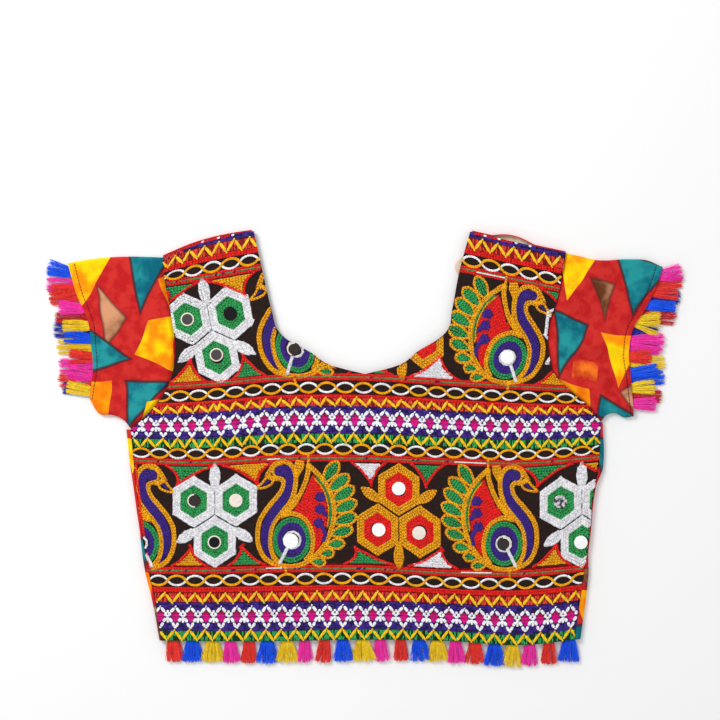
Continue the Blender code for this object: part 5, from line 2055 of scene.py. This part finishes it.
def diamonds(work, centre, x):
    """Work the row of magenta diamonds edged with white stitches."""
    x = x + work.random.normal(0.0, 0.25, len(x))

    def at(place, side=1, shift=0.0):
        wobble = work.random.normal(0.0, 0.16, (len(x), 2))
        return pairs(x + shift + side * place[0], centre + place[1]) + wobble

    for rise in np.arange(-DIAMOND_HALF, DIAMOND_HALF + 0.1, 0.2 * DIAMOND_HALF):
        half = 4.3 - 0.4 * rise if rise > 0.0 else 3.9 + 0.62 * rise
        colour = "crimson" if rise > 2.6 or abs(rise) < 0.5 else "magenta"
        work.bars(at((-half, rise)), at((half, rise)), colour, 1.3, 0.25, kind="thread")
    for start, end, width in SIDE_BEADS:
        for side in (-1, 1):
            work.bars(at(start, side), at(end, side), "white", width, 0.6)
    for beads, shift in ((APEX_BEADS, 0.0), (MIDDLE_BEADS, 0.5 * PERIOD)):
        for start, end, width in beads:
            work.bars(at(start, 1, shift), at(end, 1, shift), "white", width, 0.65)


def rope(work, path, colour, width, length, pitch, shift, lift):
    """Work a strand of overlapping slanted stitches along a path."""
    line = beside(path, shift)
    lengths = line_lengths(line)
    middles = np.arange(0.5 * pitch, lengths[-1], pitch) + work.random.normal(0.0, 0.1)
    first, last = (at_lengths(line, lengths, middles + reach) for reach in (-0.5 * length, 0.5 * length))
    slant = 0.11 * (last - first)[:, ::-1] * np.array([-1.0, 1.0])
    work.bars(first - slant, last + slant, colour, width, np.interp(middles, lengths, lift))


def crossing_chains(work, centre, white_top, half=CHAIN_HALF, start=-REACH, end=REACH):
    """Work a white and an orange strand that cross again and again."""
    x = np.arange(start, end, 0.8)
    wave = np.cos(np.pi * (x - white_top) / half)
    rise = CHAIN_RISE * np.sign(wave) * np.abs(wave)**0.6
    over = 0.5 * np.exp(-(wave / 0.35)**2)
    rope(work, pairs(x, centre + rise), "white", 1.75, 4.2, 2.5, 0.0, 0.1 + 0.0 * x)
    for shift in (-0.45, 0.45):
        rope(work, pairs(x, centre - rise), "orange", 1.15, 3.8, 2.6, shift, 0.15 + over)


# The tones of the twisted thread, each with its range of chances.
TWIST_TONES = (("olive", 0, 0.6), ("green", 0.6, 0.7), ("rust", 0.7, 0.95), ("indigo", 0.95, 1))


def twin_line(work, centre, half_gap=2.0):
    """Work two red rows with a twisted green thread between them."""
    for height in (centre - half_gap, centre + half_gap):
        work.chain(level_path(height), "red", width=2.7)
    x = np.arange(-REACH, REACH, 2.2) + work.random.normal(0.0, 0.1)
    tone = work.random.uniform(0.0, 1.0, len(x))
    for colour, low, high in TWIST_TONES:
        here = x[(tone >= low) & (tone < high)]
        work.bars(pairs(here - 1.3, centre - 0.5), pairs(here + 1.3, centre + 0.5), colour, 1.35, 0.25)


# White stitches that stand for light on the red thread: a painted highlight.
def painted_highlight_stretch(work, height, start, end):
    """Lay white stitches over a red row as a painted highlight, where two lengths of pattern meet."""
    x = np.arange(start, end, 3.0)
    work.bars(pairs(x, height), pairs(x + 3.4, height + 0.3), "white", 1.2, 0.75)


def solid_rows(work, low, high):
    """Fill a plain band with level rows of red chain stitch."""
    count = max(int(round((high - low) / SOLID_PITCH)), 1)
    step = (high - low) / count
    for number in range(count):
        work.chain(level_path(low + (number + 0.5) * step), "red", width=step + 0.25)


print("band parts are ready")

# %% Hem, chest and shoulder bands
# Along the shoulder seams: where a red edge shows, and where white tips peep out.
SEAM_STRETCHES = ((-190, -130), (104, 140))
SEAM_TIPS = (-154.9, -140, -126.4, 113, 126.4, 142.5, 155.8)


def build_hem_band():
    """Work the bands above the hem."""
    work = Needlework(31)
    upright_threads(work, 0.6, 9.3, ("green", "fern"))
    zigzag(work, 0.9, 10.4, repeats(-80.7, PERIOD), "gold")
    level_threads(work, 9.6, 36.6, ("violet", "indigo"), -79.9, 0.5 * PERIOD)
    diamonds(work, 23.0, repeats(-79.9, PERIOD))
    upright_threads(work, 37.0, 45.4, ("salmon", "brick"))
    zigzag(work, 36.4, 45.6, repeats(-90.0, PERIOD))
    solid_rows(work, 46.4, 51.2)
    crossing_chains(work, 57.5, -57.5)
    twin_line(work, 67.0)
    # Painted highlights on the red row.
    for start in (-95.0, 90.0, 104.0):
        painted_highlight_stretch(work, 67.8, start, start + 14.0)
    return work.build("hem_band", margin=0.4)


def build_chest_band():
    """Work the bands across the chest."""
    work = Needlework(32)
    twin_line(work, 172.1)
    # Painted highlights on the red rows.
    painted_highlight_stretch(work, 171.5, 84.0, 112.0)
    painted_highlight_stretch(work, 171.5, -94.0, -82.0)
    crossing_chains(work, 180.6, -56.5)
    upright_threads(work, 186.6, 195.0, ("green", "fern"))
    level_threads(work, 195.6, 221.2, ("violet", "indigo"), -82.15, 7.14)
    peaks = np.append(repeats(-96.9, 13.75, end=-96.0), repeats(-82.65, 14.25, start=-90.0))
    zigzag(work, 186.6, 195.8, peaks, "gold")
    diamonds(work, 208.3, peaks + 0.5)
    upright_threads(work, 221.4, 229.0, ("salmon", "brick"))
    peaks = np.append(repeats(-188.6, 14.7, end=-140.0), repeats(-123.8, 14.32, start=-140.0))
    zigzag(work, 221.4, 229.2, peaks, uneven=0.14)
    solid_rows(work, 229.2, 232.2)
    crossing_chains(work, 238.8, -89.5)
    twin_line(work, 248.8, 1.9)
    return work.build("chest_band", margin=0.4)


def build_shoulder_bands():
    """Work the bands below both shoulders."""
    work = Needlework(33)
    twin_line(work, 349.6)
    # Painted highlight on the red row.
    painted_highlight_stretch(work, 348.8, 105.0, 132.0)
    crossing_chains(work, 357.6, -146.0, end=0.0)
    crossing_chains(work, 357.6, 100.6, 18.0, start=0.0)
    solid_rows(work, 363.8, 368.4)
    upright_threads(work, 368.8, 378.2, ("salmon", "brick"))
    zigzag(work, 368.6, 378.8, repeats(-139.2, 14.0, end=0.0))
    zigzag(work, 368.6, 378.8, repeats(140.0, 14.64, start=0.0))
    level_threads(work, 378.9, 384.0, ("violet", "indigo"), -139.2, 7.0)
    upright_threads(work, 378.4, 382.8, ("salmon", "brick"), -196.0, -174.0, 0.45)
    for start, end in SEAM_STRETCHES:
        work.chain(level_path(383.2, start, end), "red", width=2.4, lift=0.3)
    for x in SEAM_TIPS:
        work.bars([(x - 1.3, 383.1)], [(x + 1.3, 383.5)], "white", 2.0, 0.9)
    return work.build("shoulder_bands", margin=0.4)


hem_band = build_hem_band()
chest_band = build_chest_band()
shoulder_bands = build_shoulder_bands()
NEEDLE_PIECES = (middle_left, middle_right, upper_row, hem_band, chest_band, shoulder_bands)
print("needlework:", triangles(*NEEDLE_PIECES), "triangles")

# %% [markdown]
#
# Each piece is tied to the model's root body, and hides the imported solid
# that it stands for.

# %% Ride and replace


def dress(piece, node):
    """Tie a finished piece to the model."""
    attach(piece, "root")
    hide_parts(node)


dress(front_cloth, "front")
for piece in NEEDLE_PIECES:
    dress(piece, "front")
dress(back_cloth, "back")
dress(sleeve_left_cloth, "sleeve_left")
dress(sleeve_right_cloth, "sleeve_right")
dress(cuff_left_stitches, "sleeve_left")
dress(cuff_right_stitches, "sleeve_right")
for node, piece in fringes.items():
    dress(piece, node)
for number, piece in enumerate(mirrors, 1):
    dress(piece, "mirror_%02d" % number)
